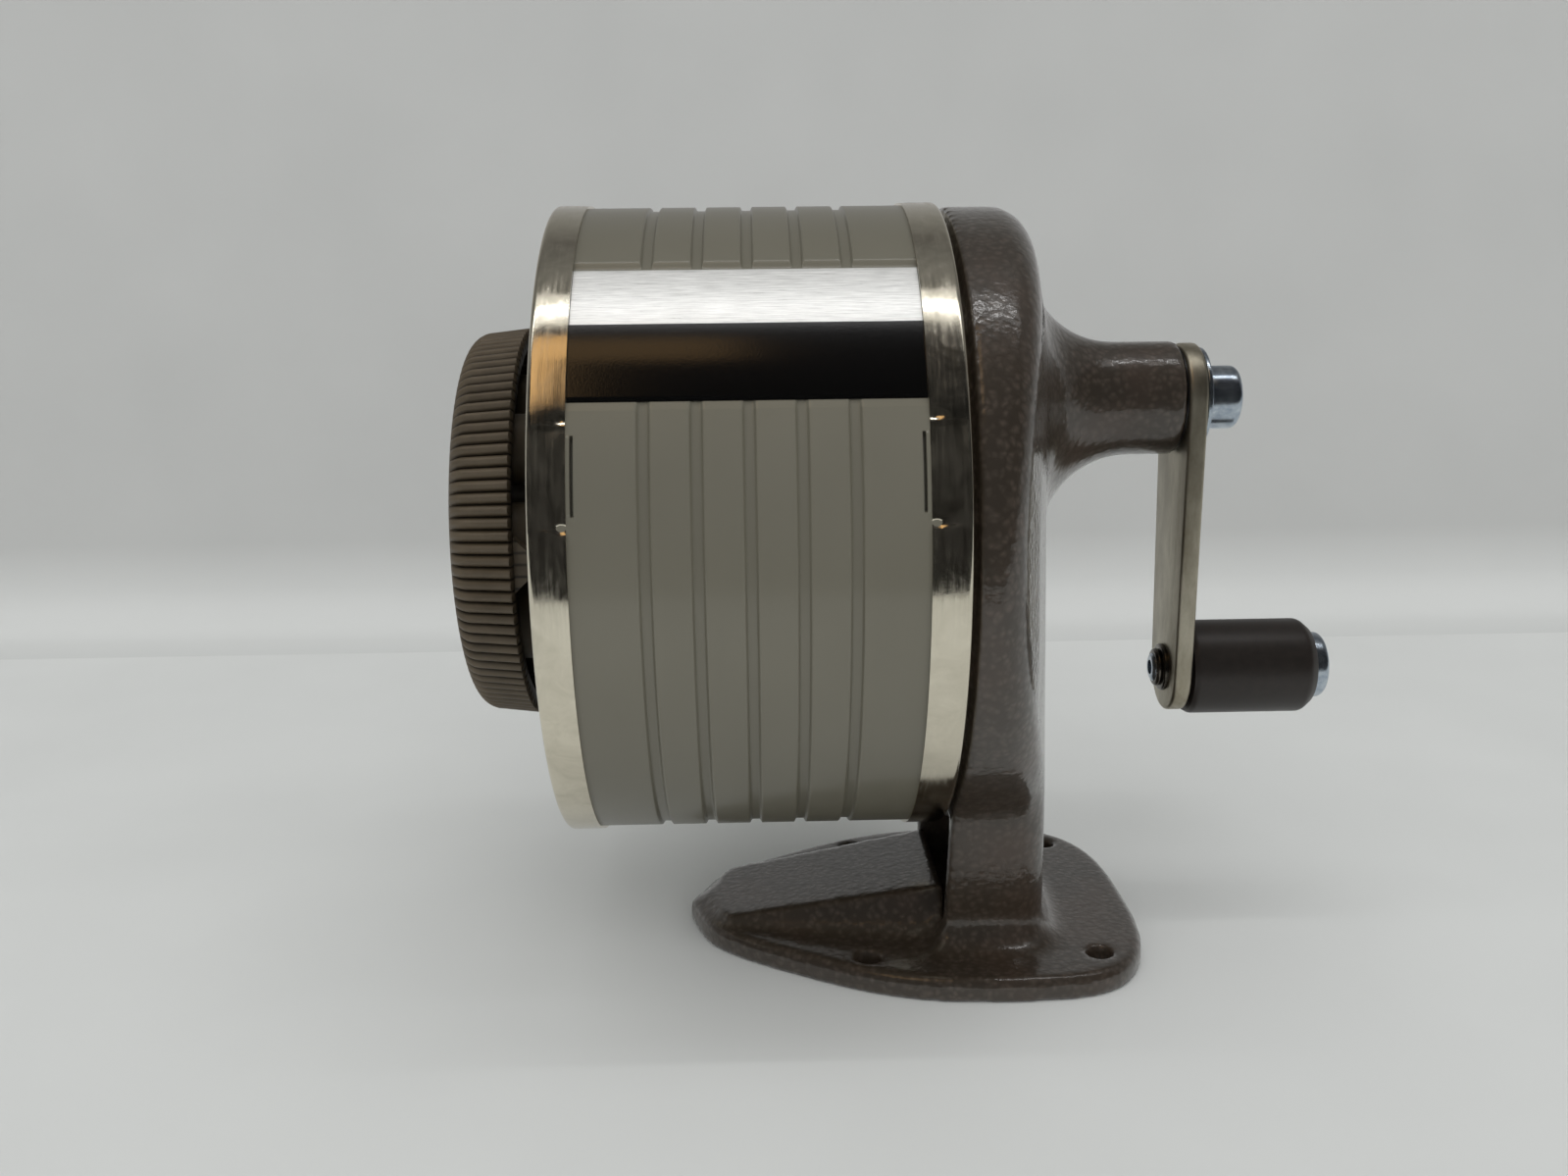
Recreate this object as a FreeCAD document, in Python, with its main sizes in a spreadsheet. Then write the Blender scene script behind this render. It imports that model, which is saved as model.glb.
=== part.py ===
import FreeCAD, Part
import math
import os
from types import SimpleNamespace

import Sketcher

# A crank pencil sharpener with a slide-off shavings drum, all in millimetres.
# The origin is the centre of the four screw holes, on the underside of the base.
# +X runs along the crank shaft towards the crank, -X towards the pencil, +Z is up.

document = FreeCAD.newDocument("pencil_sharpener")
sheet = document.addObject("Spreadsheet::Sheet", "sizes")

SIZES = {
    # axes
    "drum_axis_z": 75.4,
    "crank_axis_z": 95.3,
    "handle_axis_z": 47.2,
    # base of the casting
    "screw_spacing_x": 39.1,
    "screw_spacing_y": 48.3,
    "screw_hole_r": 2.2,
    "flange_thick": 4.2,
    "flange_edge_r": 1.5,
    "ramp_nose_x": -50.0,
    "ramp_nose_top_z": 4.8,
    "ramp_nose_half": 10.6,
    "ramp_rear_top_z": 12.1,
    "ramp_rear_half": 13.6,
    "ramp_inset": 0.95,
    "ramp_side_reach": 0.65,
    "screw_hole_depth": 20.0,
    # housing and column of the casting
    "stand_front_x": -6.2,
    "housing_r": 52.2,
    "crown_r": 120.0,
    "back_x": 10.9,
    "foot_lean": 1.6,
    "upright_deep": 40.0,
    "column_top_share": 0.8,
    "channel_top_share": 0.85,
    "column_foot_half": 18.8,
    "column_taper": 0.3,
    "column_wall": 4.0,
    "back_edge_r": 6.0,
    "cavity_r": 47.5,
    "back_wall": 3.8,
    "column_blend_r": 12.0,
    "column_foot_r": 5.0,
    "channel_floor_z": 5.0,
    "channel_back_x": 7.2,
    "lip_r": 49.5,
    "lip_front_x": -9.5,
    "neck_end_x": 35.0,
    "neck_r": 9.7,
    "flare_r": 16.0,
    "spindle_boss_r": 17.5,
    "spindle_boss_x": -15.0,
    "hub_room_r": 12.6,
    "hub_room_end_x": -7.8,
    "hub_neck_room_r": 8.7,
    "hub_neck_room_end_x": -2.4,
    "bush_outer_r": 7.5,
    "bush_bore_r": 5.05,
    "front_bush_end_x": 8.0,
    "rear_bush_start_x": 26.0,
    "rear_bush_end_x": 34.9,
    "shaft_room_r": 6.4,
    # shavings drum
    "cap_r": 53.0,
    "cap_sheet": 0.45,
    "cap_corner": 1.2,
    "front_cap_x": -69.2,
    "front_skirt_x": -63.7,
    "rear_cap_x": -7.2,
    "rear_skirt_x": -13.1,
    "front_cap_opening_r": 44.0,
    "rear_cap_opening_r": 49.9,
    "shell_r": 52.5,
    "shell_sheet": 0.6,
    "groove_depth": 0.5,
    "groove_pitch": 7.4,
    "groove_width": 2.2,
    "groove_flank": 0.5,
    "first_groove_x": -53.0,
    "label_recess_start": 26.5,
    "label_recess_angle": 28.2,
    "label_start": 27.4,
    "label_angle": 26.2,
    "label_sheet": 0.35,
    "front_plate_thick": 0.8,
    "front_plate_r": 51.3,
    "pencil_way_r": 6.6,
    "guide_outer_r": 8.0,
    "guide_flange_r": 10.0,
    "guide_end_x": -64.4,
    # size dial
    "dial_r": 33.1,
    "dial_front_x": -84.6,
    "dial_rim_x": -74.7,
    "dial_wall": 3.0,
    "dial_edge": 3.0,
    "dial_hub_r": 6.5,
    "dial_hub_end_x": -72.2,
    "dial_recess_r": 6.0,
    "dial_recess": 2.4,
    "lug_root_x": -78.0,
    "lug_tip_x": -70.3,
    "lug_half": 4.3,
    "lug_drop": 2.0,
    "lug_outer_y": -30.6,
    "lug_inner_y": -28.2,
    "hole_ring_r": 19.9,
    "sleeve_wall": 1.4,
    "stud_r": 3.0,
    "stud_head_r": 5.2,
    "stud_head": 1.6,
    "running_gap": 0.05,
    "spring_sheet": 0.4,
    "spring_half_width": 3.6,
    "spring_low": 29.0,
    "detent_nose_x": -71.9,
    "detent_nose_r": 1.6,
    "detent_nose_low": 26.0,
    # cutter head
    "gear_plane_x": -17.5,
    "gear_offset": 5.9,
    "cutter_tilt": 8.4,
    "ring_teeth": 20,
    "pinion_teeth": 9,
    "ring_tip_share": 0.30,
    "ring_root_share": 0.62,
    "pinion_tip_share": 0.26,
    "pinion_root_share": 0.58,
    "roll_tip_share": 0.08,
    "roll_root_share": 0.85,
    "axle_gap": 0.06,
    "ring_tip_r": 10.0,
    "ring_root_r": 11.8,
    "ring_outer_r": 17.5,
    "ring_front_x": -20.0,
    "pinion_tip_r": 5.5,
    "pinion_root_r": 3.7,
    "pinion_half_width": 1.9,
    "roll_r": 6.2,
    "roll_flute": 0.8,
    "roll_teeth": 14,
    "roll_start": 5.0,
    "roll_length": 34.8,
    "roll_twist": 80.0,
    "roll_neck_r": 3.4,
    "axle_r": 1.5,
    "axle_front": 45.8,
    "axle_rear": 6.6,
    "frame_hub_r": 11.9,
    "frame_hub_x": -14.4,
    "frame_hub_end_x": -8.3,
    "frame_neck_r": 8.2,
    "frame_neck_end_x": -3.0,
    "frame_rear_arm_in": 6.7,
    "frame_rear_arm_out": 9.2,
    "frame_rear_arm_half": 2.8,
    "frame_arm_in": 6.9,
    "frame_arm_out": 13.0,
    "frame_arm_half": 5.5,
    "frame_arm_end_x": -21.8,
    "frame_ring_x": -63.0,
    "frame_ring_end_x": -58.5,
    "frame_ring_r": 17.0,
    "gear_screw_r": 1.2,
    "gear_screw_head_r": 2.2,
    "gear_screw_ring_r": 14.8,
    "gear_screw_depth": 11.0,
    "gear_screw_tap_depth": 6.5,
    "gear_screw_head": 1.1,
    "slot_deep": 0.6,
    "slot_wide": 0.5,
    # crank
    "shaft_r": 5.0,
    "shaft_start_x": -9.5,
    "shaft_end_r": 3.5,
    "crank_bolt_r": 2.5,
    "crank_bolt_depth_x": 24.0,
    "arm_x": 35.35,
    "arm_thick": 3.15,
    "arm_top_r": 9.4,
    "arm_low_r": 7.7,
    "arm_waist": 8.5,
    "thrust_washer_r": 8.6,
    "crank_washer_x": 38.7,
    "crank_washer_thick": 0.8,
    "crank_washer_r": 8.6,
    "bolt_head_r": 5.45,
    "bolt_head_end_x": 45.8,
    "knob_x": 38.9,
    "knob_end_x": 61.0,
    "knob_r": 8.35,
    "knob_chamfer": 1.6,
    "handle_screw_r": 2.5,
    "handle_disc_r": 5.9,
    "handle_disc_end_x": 63.6,
    "handle_nut_x": 33.5,
    "handle_nut_r": 4.3,
    "handle_screw_tip_x": 33.0,
}

# Radii of the eight pencil holes in the dial, counted from the one in line with the cutters.
PENCIL_HOLES = [4.0, 4.4, 4.8, 5.2, 5.6, 3.0, 3.3, 3.6]

# Half of the base's outline, from the round nose to the rear edge.
FLANGE_HALF = [(-48.9, 5.0), (-46.5, 10.6), (-41.4, 16.0), (-30.5, 23.6), (-20.2, 29.4),
               (-9.9, 32.8), (1.0, 33.8), (12.0, 33.4), (20.4, 31.0), (26.2, 24.4), (29.1, 14.0)]
FLANGE_NOSE = (-50.4, 0.0)
FLANGE_REAR = (29.6, 0.0)

# Side of the ramp from its upper edge out to the base, as shares of its width and height.
RAMP_SIDE = [(0.0, 1.0), (0.5, 0.42), (0.75, 0.2), (1.1, 0.05), (1.6, -0.12)]


class Size:
    """A size with its number and the spreadsheet expression that drives it."""

    def __init__(self, number, text):
        self.number = number
        self.text = text

    def joined(self, other, sign, number):
        return Size(number, "(" + self.text + " " + sign + " " + text_of(other) + ")")

    def __add__(self, other):
        return self.joined(other, "+", self.number + number_of(other))

    def __sub__(self, other):
        return self.joined(other, "-", self.number - number_of(other))

    def __mul__(self, other):
        return self.joined(other, "*", self.number * number_of(other))

    def __truediv__(self, other):
        return self.joined(other, "/", self.number / number_of(other))

    def __neg__(self):
        return self * -1

    def __float__(self):
        return float(self.number)


def number_of(value):
    return float(value)


def text_of(value):
    if isinstance(value, Size):
        return value.text
    return repr(value)


for row, (name, value) in enumerate(SIZES.items(), start=1):
    sheet.set("A" + str(row), name)
    sheet.set("B" + str(row), str(value))
    sheet.setAlias("B" + str(row), name)
document.recompute()

size = SimpleNamespace(**{name: Size(value, "sizes." + name) for name, value in SIZES.items()})
plain = SimpleNamespace(**{name: sheet.get(name) for name in SIZES})

ALONG_X = FreeCAD.Vector(1, 0, 0)
ALONG_Y = FreeCAD.Vector(0, 1, 0)
ALONG_Z = FreeCAD.Vector(0, 0, 1)
parts = {}


def keep(label, piece):
    """Name a finished piece, so that it is written to its own file."""
    piece.Label = label
    parts[label] = piece
    return piece


def bind(piece, name, value):
    piece.setExpression(name, text_of(value))


def move(piece, x=0.0, y=0.0, z=0.0):
    """Place a piece, with its position driven by the spreadsheet."""
    for letter, value in zip("xyz", (x, y, z)):
        bind(piece, "Placement.Base." + letter, value)
    return piece


# ---------------------------------------------------------------- building blocks

def rod(name, start, end, radius, y=0.0, z=0.0):
    """A cylinder along X from start to end."""
    piece = document.addObject("Part::Cylinder", name)
    piece.Placement = FreeCAD.Placement(FreeCAD.Vector(), FreeCAD.Rotation(ALONG_Y, 90))
    bind(piece, "Radius", radius)
    bind(piece, "Height", end - start)
    return move(piece, start, y, z)


def block(name, low, high):
    """A box between two corners."""
    piece = document.addObject("Part::Box", name)
    for side, a, b in zip(("Length", "Width", "Height"), low, high):
        bind(piece, side, b - a)
    return move(piece, *low)


def cut(name, base, tool):
    piece = document.addObject("Part::Cut", name)
    piece.Base = base
    piece.Tool = tool
    return piece


def fuse(name, pieces):
    piece = document.addObject("Part::MultiFuse", name)
    piece.Shapes = pieces
    return piece


def group(name, pieces):
    """Separate solids that share one node."""
    piece = document.addObject("Part::Compound", name)
    piece.Links = pieces
    return piece


def fix_point(sketch, geometry, point, across, up):
    """Tie a sketch point to the origin by its two distances, or to an axis where one is zero."""
    for kind, axis, value in (("DistanceX", -2, across), ("DistanceY", -1, up)):
        if number_of(value) == 0.0:
            sketch.addConstraint(Sketcher.Constraint("PointOnObject", geometry, point, axis))
            continue
        index = sketch.addConstraint(
            Sketcher.Constraint(kind, -1, 1, geometry, point, number_of(value)))
        bind(sketch, "Constraints[" + str(index) + "]", value)


def new_sketch(body, role):
    sketch = body.newObject("Sketcher::SketchObject", body.Name + "_sketch")
    plane = next(item for item in body.Origin.OriginFeatures if item.Role == role)
    sketch.AttachmentSupport = [(plane, "")]
    sketch.MapMode = "FlatFace"
    return sketch


def add_polygon(sketch, points):
    first = sketch.GeometryCount
    corners = [FreeCAD.Vector(number_of(a), number_of(b), 0) for a, b in points]
    count = len(corners)
    for start, end in zip(corners, corners[1:] + corners[:1]):
        sketch.addGeometry(Part.LineSegment(start, end), False)
    for step in range(count):
        after = first + (step + 1) % count
        sketch.addConstraint(Sketcher.Constraint("Coincident", first + step, 2, after, 1))
    for step, (across, up) in enumerate(points):
        fix_point(sketch, first + step, 1, across, up)


def add_circle(sketch, across, up, radius):
    centre = FreeCAD.Vector(number_of(across), number_of(up), 0)
    circle = Part.Circle(centre, ALONG_Z, number_of(radius))
    index = sketch.addGeometry(circle, False)
    fix_point(sketch, index, 3, across, up)
    constraint = sketch.addConstraint(Sketcher.Constraint("Radius", index, number_of(radius)))
    bind(sketch, "Constraints[" + str(constraint) + "]", radius)


def turned(name, points, axis_z):
    """A body turned about an axis along X, from (x, radius) corners."""
    body = document.addObject("PartDesign::Body", name)
    sketch = new_sketch(body, "XZ_Plane")
    add_polygon(sketch, points)
    turn = body.newObject("PartDesign::Revolution", name + "_turn")
    turn.Profile = sketch
    turn.ReferenceAxis = (sketch, ["H_Axis"])
    turn.Angle = 360
    body.Tip = turn
    return move(body, 0.0, 0.0, axis_z)


def tube(name, start, end, inner, outer, axis_z):
    return turned(name, [(start, inner), (start, outer), (end, outer), (end, inner)], axis_z)


def plate(name, start, thick, circles, axis_z, polygon=None):
    """A flat plate across X: an outline of one polygon or the first circle, then round holes."""
    body = document.addObject("PartDesign::Body", name)
    sketch = new_sketch(body, "YZ_Plane")
    if polygon:
        add_polygon(sketch, polygon)
    for across, up, radius in circles:
        add_circle(sketch, across, up, radius)
    pad = body.newObject("PartDesign::Pad", name + "_pad")
    pad.Profile = sketch
    bind(pad, "Length", thick)
    body.Tip = pad
    return move(body, start, 0.0, axis_z)


def sector(name, start, end, radius, first_angle, angle):
    """A wedge of a cylinder about the drum's axis, on the -Y side, above the horizontal."""
    piece = document.addObject("Part::Cylinder", name)
    turn = FreeCAD.Rotation(ALONG_X, -number_of(first_angle) - number_of(angle))
    across = FreeCAD.Rotation(FreeCAD.Vector(0, 0, 1), FreeCAD.Vector(0, -1, 0), ALONG_X, "ZXY")
    piece.Placement = FreeCAD.Placement(FreeCAD.Vector(), turn.multiply(across))
    bind(piece, "Radius", radius)
    bind(piece, "Height", end - start)
    bind(piece, "Angle", angle)
    return move(piece, start, 0.0, size.drum_axis_z)


def solid_feature(name, shape):
    piece = document.addObject("Part::Feature", name)
    piece.Shape = shape
    return piece


def cylinder_x(start, end, radius, y, z):
    return Part.makeCylinder(radius, end - start, FreeCAD.Vector(start, y, z), ALONG_X)


# ---------------------------------------------------------------- casting

def flange_outline():
    """The leaf-shaped outline of the base, as a face at z = 0."""
    near = [FreeCAD.Vector(x, -y, 0) for x, y in FLANGE_HALF]
    far = [FreeCAD.Vector(x, y, 0) for x, y in reversed(FLANGE_HALF)]
    ends = [FreeCAD.Vector(*FLANGE_NOSE, 0), FreeCAD.Vector(*FLANGE_REAR, 0)]
    outline = Part.BSplineCurve()
    outline.interpolate(Points=[ends[0]] + near + [ends[1]] + far, PeriodicFlag=True)
    return Part.Face(Part.Wire(outline.toShape()))


def flange_shape():
    """The base plate, with a rounded upper edge."""
    slab = flange_outline().extrude(FreeCAD.Vector(0, 0, plain.flange_thick))
    top = [edge for edge in slab.Edges if edge.BoundBox.ZMin > plain.flange_thick - 0.01]
    return slab.makeFillet(plain.flange_edge_r, top)


def ramp_section(x, half, top_z):
    """A cross-section of the ramp: a flat top whose sides sweep out onto the base."""
    rise = top_z - plain.flange_thick
    reach = plain.ramp_side_reach * rise
    side = [(half + reach * out, plain.flange_thick + rise * up) for out, up in RAMP_SIDE]
    left = [(-across, up) for across, up in reversed(side)]
    corners = [FreeCAD.Vector(x, across, up) for across, up in side]
    corners += [FreeCAD.Vector(x, half, 1.0), FreeCAD.Vector(x, -half, 1.0)]
    corners += [FreeCAD.Vector(x, across, up) for across, up in left]
    return Part.makePolygon(corners + corners[:1])


def ramp_shape():
    """The wedge that rises along the base from its nose to the column."""
    nose = ramp_section(plain.ramp_nose_x, plain.ramp_nose_half, plain.ramp_nose_top_z)
    rear = ramp_section(plain.stand_front_x + 0.5, plain.ramp_rear_half, plain.ramp_rear_top_z)
    wedge = Part.makeLoft([nose, rear], True, True)
    inset = flange_outline()
    inset.scale(plain.ramp_inset, FreeCAD.Vector(0, 0, 0))
    return wedge.common(inset.extrude(FreeCAD.Vector(0, 0, 2 * plain.ramp_rear_top_z)))


def column_half_width(z):
    return plain.column_foot_half + plain.column_taper * z


def crown_shape(wall):
    """A post with a ball on top, whose surface is the crowned back less a wall thickness."""
    x = plain.back_x - plain.crown_r
    radius = plain.crown_r - wall
    foot_radius = radius + plain.foot_lean
    post = Part.makeCone(foot_radius, radius, plain.crank_axis_z, FreeCAD.Vector(x, 0, 0))
    return post.fuse(Part.makeSphere(radius, FreeCAD.Vector(x, 0, plain.crank_axis_z)))


def upright_shape():
    """Round housing and tapered column in one, with a crowned back and a rounded back edge."""
    deep = plain.upright_deep
    top_z = plain.drum_axis_z - plain.column_top_share * plain.housing_r
    housing = cylinder_x(plain.stand_front_x, deep, plain.housing_r, 0, plain.drum_axis_z)
    outline = [(-column_half_width(0), 0), (column_half_width(0), 0),
               (column_half_width(top_z), top_z), (-column_half_width(top_z), top_z)]
    corners = [FreeCAD.Vector(plain.stand_front_x, y, z) for y, z in outline]
    column = Part.Face(Part.makePolygon(corners + corners[:1]))
    column = column.extrude(FreeCAD.Vector(deep - plain.stand_front_x, 0, 0))
    upright = housing.fuse(column).removeSplitter()
    blends = [edge for edge in upright.Edges if is_blend_edge(edge)]
    upright = upright.makeFillet(plain.column_blend_r, blends)
    crowned = upright.common(crown_shape(0)).removeSplitter()
    back = [edge for edge in crowned.Edges if is_back_edge(edge)]
    return crowned.makeFillet(plain.back_edge_r, back)


def is_blend_edge(edge):
    """Whether an edge is where the column's side runs into the round housing."""
    box = edge.BoundBox
    return box.XLength > 10 and box.YLength < 0.1 and box.ZLength < 0.1 and box.ZMin > 10


def is_back_edge(edge):
    """Whether an edge is part of the rim of the crowned back, not the seam across it."""
    middle = edge.valueAt((edge.FirstParameter + edge.LastParameter) / 2)
    reach = math.hypot(middle.y, middle.z - plain.drum_axis_z)
    seam = abs(middle.z - plain.crank_axis_z) < 0.1 and reach < plain.housing_r - 0.5
    box = edge.BoundBox
    return box.XMin > plain.stand_front_x + 3 and box.ZMax > 1 and not seam


def is_foot_edge(edge):
    """Whether an edge is where the column stands on the base."""
    box = edge.BoundBox
    level = max(abs(box.ZMin - plain.flange_thick), abs(box.ZMax - plain.flange_thick)) < 0.01
    return level and box.XMin > plain.stand_front_x - 0.1 and max(-box.YMin, box.YMax) < 24


def is_neck_edge(edge):
    """Whether an edge is where the round neck leaves the crowned back."""
    middle = edge.valueAt((edge.FirstParameter + edge.LastParameter) / 2)
    reach = math.hypot(middle.y, middle.z - plain.crank_axis_z)
    return abs(reach - plain.neck_r) < 0.05 and edge.BoundBox.XMax < plain.back_x + 0.1


def necked(upright):
    """The upright with its bearing neck, which flares out of the crowned back."""
    start = plain.back_x - 4
    neck = cylinder_x(start, plain.neck_end_x, plain.neck_r, 0, plain.crank_axis_z)
    joined = upright.fuse(neck)
    return joined.makeFillet(plain.flare_r, [edge for edge in joined.Edges if is_neck_edge(edge)])


def channel_shape():
    """The hollow of the column, open to the front."""
    inset = plain.column_wall
    low = plain.channel_floor_z
    high = plain.drum_axis_z - plain.channel_top_share * plain.housing_r
    outline = [(-column_half_width(low) + inset, low), (column_half_width(low) - inset, low),
               (column_half_width(high) - inset, high), (-column_half_width(high) + inset, high)]
    corners = [FreeCAD.Vector(plain.stand_front_x - 1, y, z) for y, z in outline]
    face = Part.Face(Part.makePolygon(corners + corners[:1]))
    deep = plain.channel_back_x - plain.stand_front_x + 1
    rim = cylinder_x(-20, 20, plain.housing_r, 0, plain.drum_axis_z)
    return face.extrude(FreeCAD.Vector(deep, 0, 0)).cut(rim)


def gear_screw_places():
    """Centres of the three ring gear screws, as (y, z)."""
    places = []
    for angle in (30, 150, 270):
        y = plain.gear_screw_ring_r * math.cos(math.radians(angle))
        z = plain.crank_axis_z + plain.gear_screw_ring_r * math.sin(math.radians(angle))
        places.append((y, z))
    return places


def casting_shape():
    drum_z = plain.drum_axis_z
    crank_z = plain.crank_axis_z
    front = plain.stand_front_x
    lip = cylinder_x(plain.lip_front_x, front + 1, plain.lip_r, 0, drum_z)
    boss = cylinder_x(plain.spindle_boss_x, plain.back_x - 2, plain.spindle_boss_r, 0, crank_z)
    cavity = cylinder_x(-30, plain.back_x, plain.cavity_r, 0, drum_z)
    cavity = cavity.common(crown_shape(plain.back_wall))
    upright = necked(upright_shape()).fuse(flange_shape())
    upright = upright.makeFillet(plain.column_foot_r,
                                 [edge for edge in upright.Edges if is_foot_edge(edge)])
    shell = upright.fuse(lip).cut(cavity).cut(channel_shape())
    solid = shell.fuse([boss, ramp_shape()])
    hollows = [
        cylinder_x(plain.spindle_boss_x - 1, plain.hub_room_end_x, plain.hub_room_r, 0, crank_z),
        cylinder_x(-10, plain.hub_neck_room_end_x, plain.hub_neck_room_r, 0, crank_z),
        cylinder_x(-10, plain.front_bush_end_x, plain.bush_outer_r, 0, crank_z),
        cylinder_x(0, 40, plain.shaft_room_r, 0, crank_z),
        cylinder_x(plain.rear_bush_start_x, 40, plain.bush_outer_r, 0, crank_z),
    ]
    for y, z in gear_screw_places():
        hollows.append(cylinder_x(plain.spindle_boss_x - 1,
                                  plain.spindle_boss_x + plain.gear_screw_tap_depth,
                                  plain.gear_screw_r, y, z))
    for side_x in (-0.5, 0.5):
        for side_y in (-0.5, 0.5):
            centre = FreeCAD.Vector(side_x * plain.screw_spacing_x,
                                    side_y * plain.screw_spacing_y, -1)
            hollows.append(Part.makeCylinder(plain.screw_hole_r, plain.screw_hole_depth, centre))
    return solid.cut(hollows).removeSplitter()


keep("stand_casting", solid_feature("casting", casting_shape()))
keep("front_bush", tube("bush_front", size.hub_neck_room_end_x, size.front_bush_end_x,
                        size.bush_bore_r, size.bush_outer_r, size.crank_axis_z))
keep("rear_bush", tube("bush_rear", size.rear_bush_start_x, size.rear_bush_end_x,
                       size.bush_bore_r, size.bush_outer_r, size.crank_axis_z))


# ---------------------------------------------------------------- shavings drum

def build_drum_shell():
    """The painted sheet shell with five pressed grooves and a recess for the label."""
    start = size.front_cap_x + size.cap_sheet + size.front_plate_thick
    end = size.rear_cap_x - size.cap_corner - size.running_gap
    outer = []
    inner = []
    for step in range(5):
        centre = size.first_groove_x + size.groove_pitch * step
        wide = size.groove_width / 2
        narrow = wide - size.groove_flank
        for offset, deep in ((-wide, 0), (-narrow, 1), (narrow, 1), (wide, 0)):
            radius = size.shell_r - size.groove_depth * deep
            outer.append((centre + offset, radius))
            inner.append((centre + offset, radius - size.shell_sheet))
    outline = [(start, size.shell_r)] + outer + [(end, size.shell_r)]
    outline += [(end, size.shell_r - size.shell_sheet)] + inner[::-1]
    outline += [(start, size.shell_r - size.shell_sheet)]
    pressed = turned("shell_pressed", outline, size.drum_axis_z)
    floor_r = size.shell_r - size.groove_depth
    span = (start, end)
    angles = (size.label_recess_start, size.label_recess_angle)
    room = cut("recess_room", sector("recess_out", *span, size.cap_r + 1, *angles),
               sector("recess_floor", *span, floor_r, *angles))
    bed = cut("recess_bed", sector("bed_out", *span, floor_r, *angles),
              sector("bed_in", *span, floor_r - size.shell_sheet, *angles))
    return fuse("shell", [cut("shell_recessed", pressed, room), bed])


def build_label():
    """The thin plate that lies in the recess between the caps."""
    inner = size.shell_r - size.groove_depth + 0.02
    span = (size.front_skirt_x + size.running_gap, size.rear_skirt_x - size.running_gap)
    angles = (size.label_start, size.label_angle)
    return cut("label", sector("label_out", *span, inner + size.label_sheet, *angles),
               sector("label_in", *span, inner, *angles))


def build_front_cap():
    """The bright ring that holds the front plate on the shell."""
    face = size.front_cap_x
    inner_r = size.cap_r - size.cap_sheet
    opening = size.front_cap_opening_r
    back = face + size.cap_sheet
    return turned("cap_front", [
        (face, opening), (face, size.cap_r - size.cap_corner), (face + size.cap_corner, size.cap_r),
        (size.front_skirt_x, size.cap_r), (size.front_skirt_x, inner_r),
        (face + size.cap_corner, inner_r), (back, inner_r - size.cap_corner), (back, opening),
    ], size.drum_axis_z)


def build_rear_cap():
    """The bright ring round the drum's open rear end."""
    face = size.rear_cap_x
    inner_r = size.cap_r - size.cap_sheet
    opening = size.rear_cap_opening_r
    back = face - size.cap_sheet
    return turned("cap_rear", [
        (face, opening), (back, opening), (back, inner_r - size.cap_corner),
        (face - size.cap_corner, inner_r), (size.rear_skirt_x, inner_r),
        (size.rear_skirt_x, size.cap_r), (face - size.cap_corner, size.cap_r),
        (face, size.cap_r - size.cap_corner),
    ], size.drum_axis_z)


plate_x = size.front_cap_x + size.cap_sheet
plate_back_x = plate_x + size.front_plate_thick
keep("drum_shell", build_drum_shell())
keep("label_plate", build_label())
keep("front_cap", build_front_cap())
keep("rear_cap", build_rear_cap())
keep("front_plate", plate("plate_front", plate_x, size.front_plate_thick, [
    (0.0, 0.0, size.front_plate_r),
    (0.0, size.hole_ring_r, size.pencil_way_r),
    (0.0, 0.0, size.stud_r),
], size.drum_axis_z))
keep("pencil_guide", turned("guide", [
    (plate_back_x, size.pencil_way_r), (plate_back_x, size.guide_flange_r),
    (plate_back_x + 1.0, size.guide_flange_r), (plate_back_x + 1.0, size.guide_outer_r),
    (size.guide_end_x, size.guide_outer_r), (size.guide_end_x, size.pencil_way_r),
], size.crank_axis_z))


# ---------------------------------------------------------------- size dial

def dial_lug_shape():
    """The pointed lug inside the rim that shows which hole is in use."""
    middle = plain.drum_axis_z - plain.lug_drop
    low = middle - plain.lug_half
    high = middle + plain.lug_half
    outline = [(plain.lug_root_x, high), (plain.dial_rim_x, high), (plain.lug_tip_x, middle),
               (plain.dial_rim_x, low), (plain.lug_root_x, low)]
    ring = [FreeCAD.Vector(x, plain.lug_outer_y, up) for x, up in outline]
    face = Part.Face(Part.makePolygon(ring + ring[:1]))
    return face.extrude(FreeCAD.Vector(0, plain.lug_inner_y - plain.lug_outer_y, 0))


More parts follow.
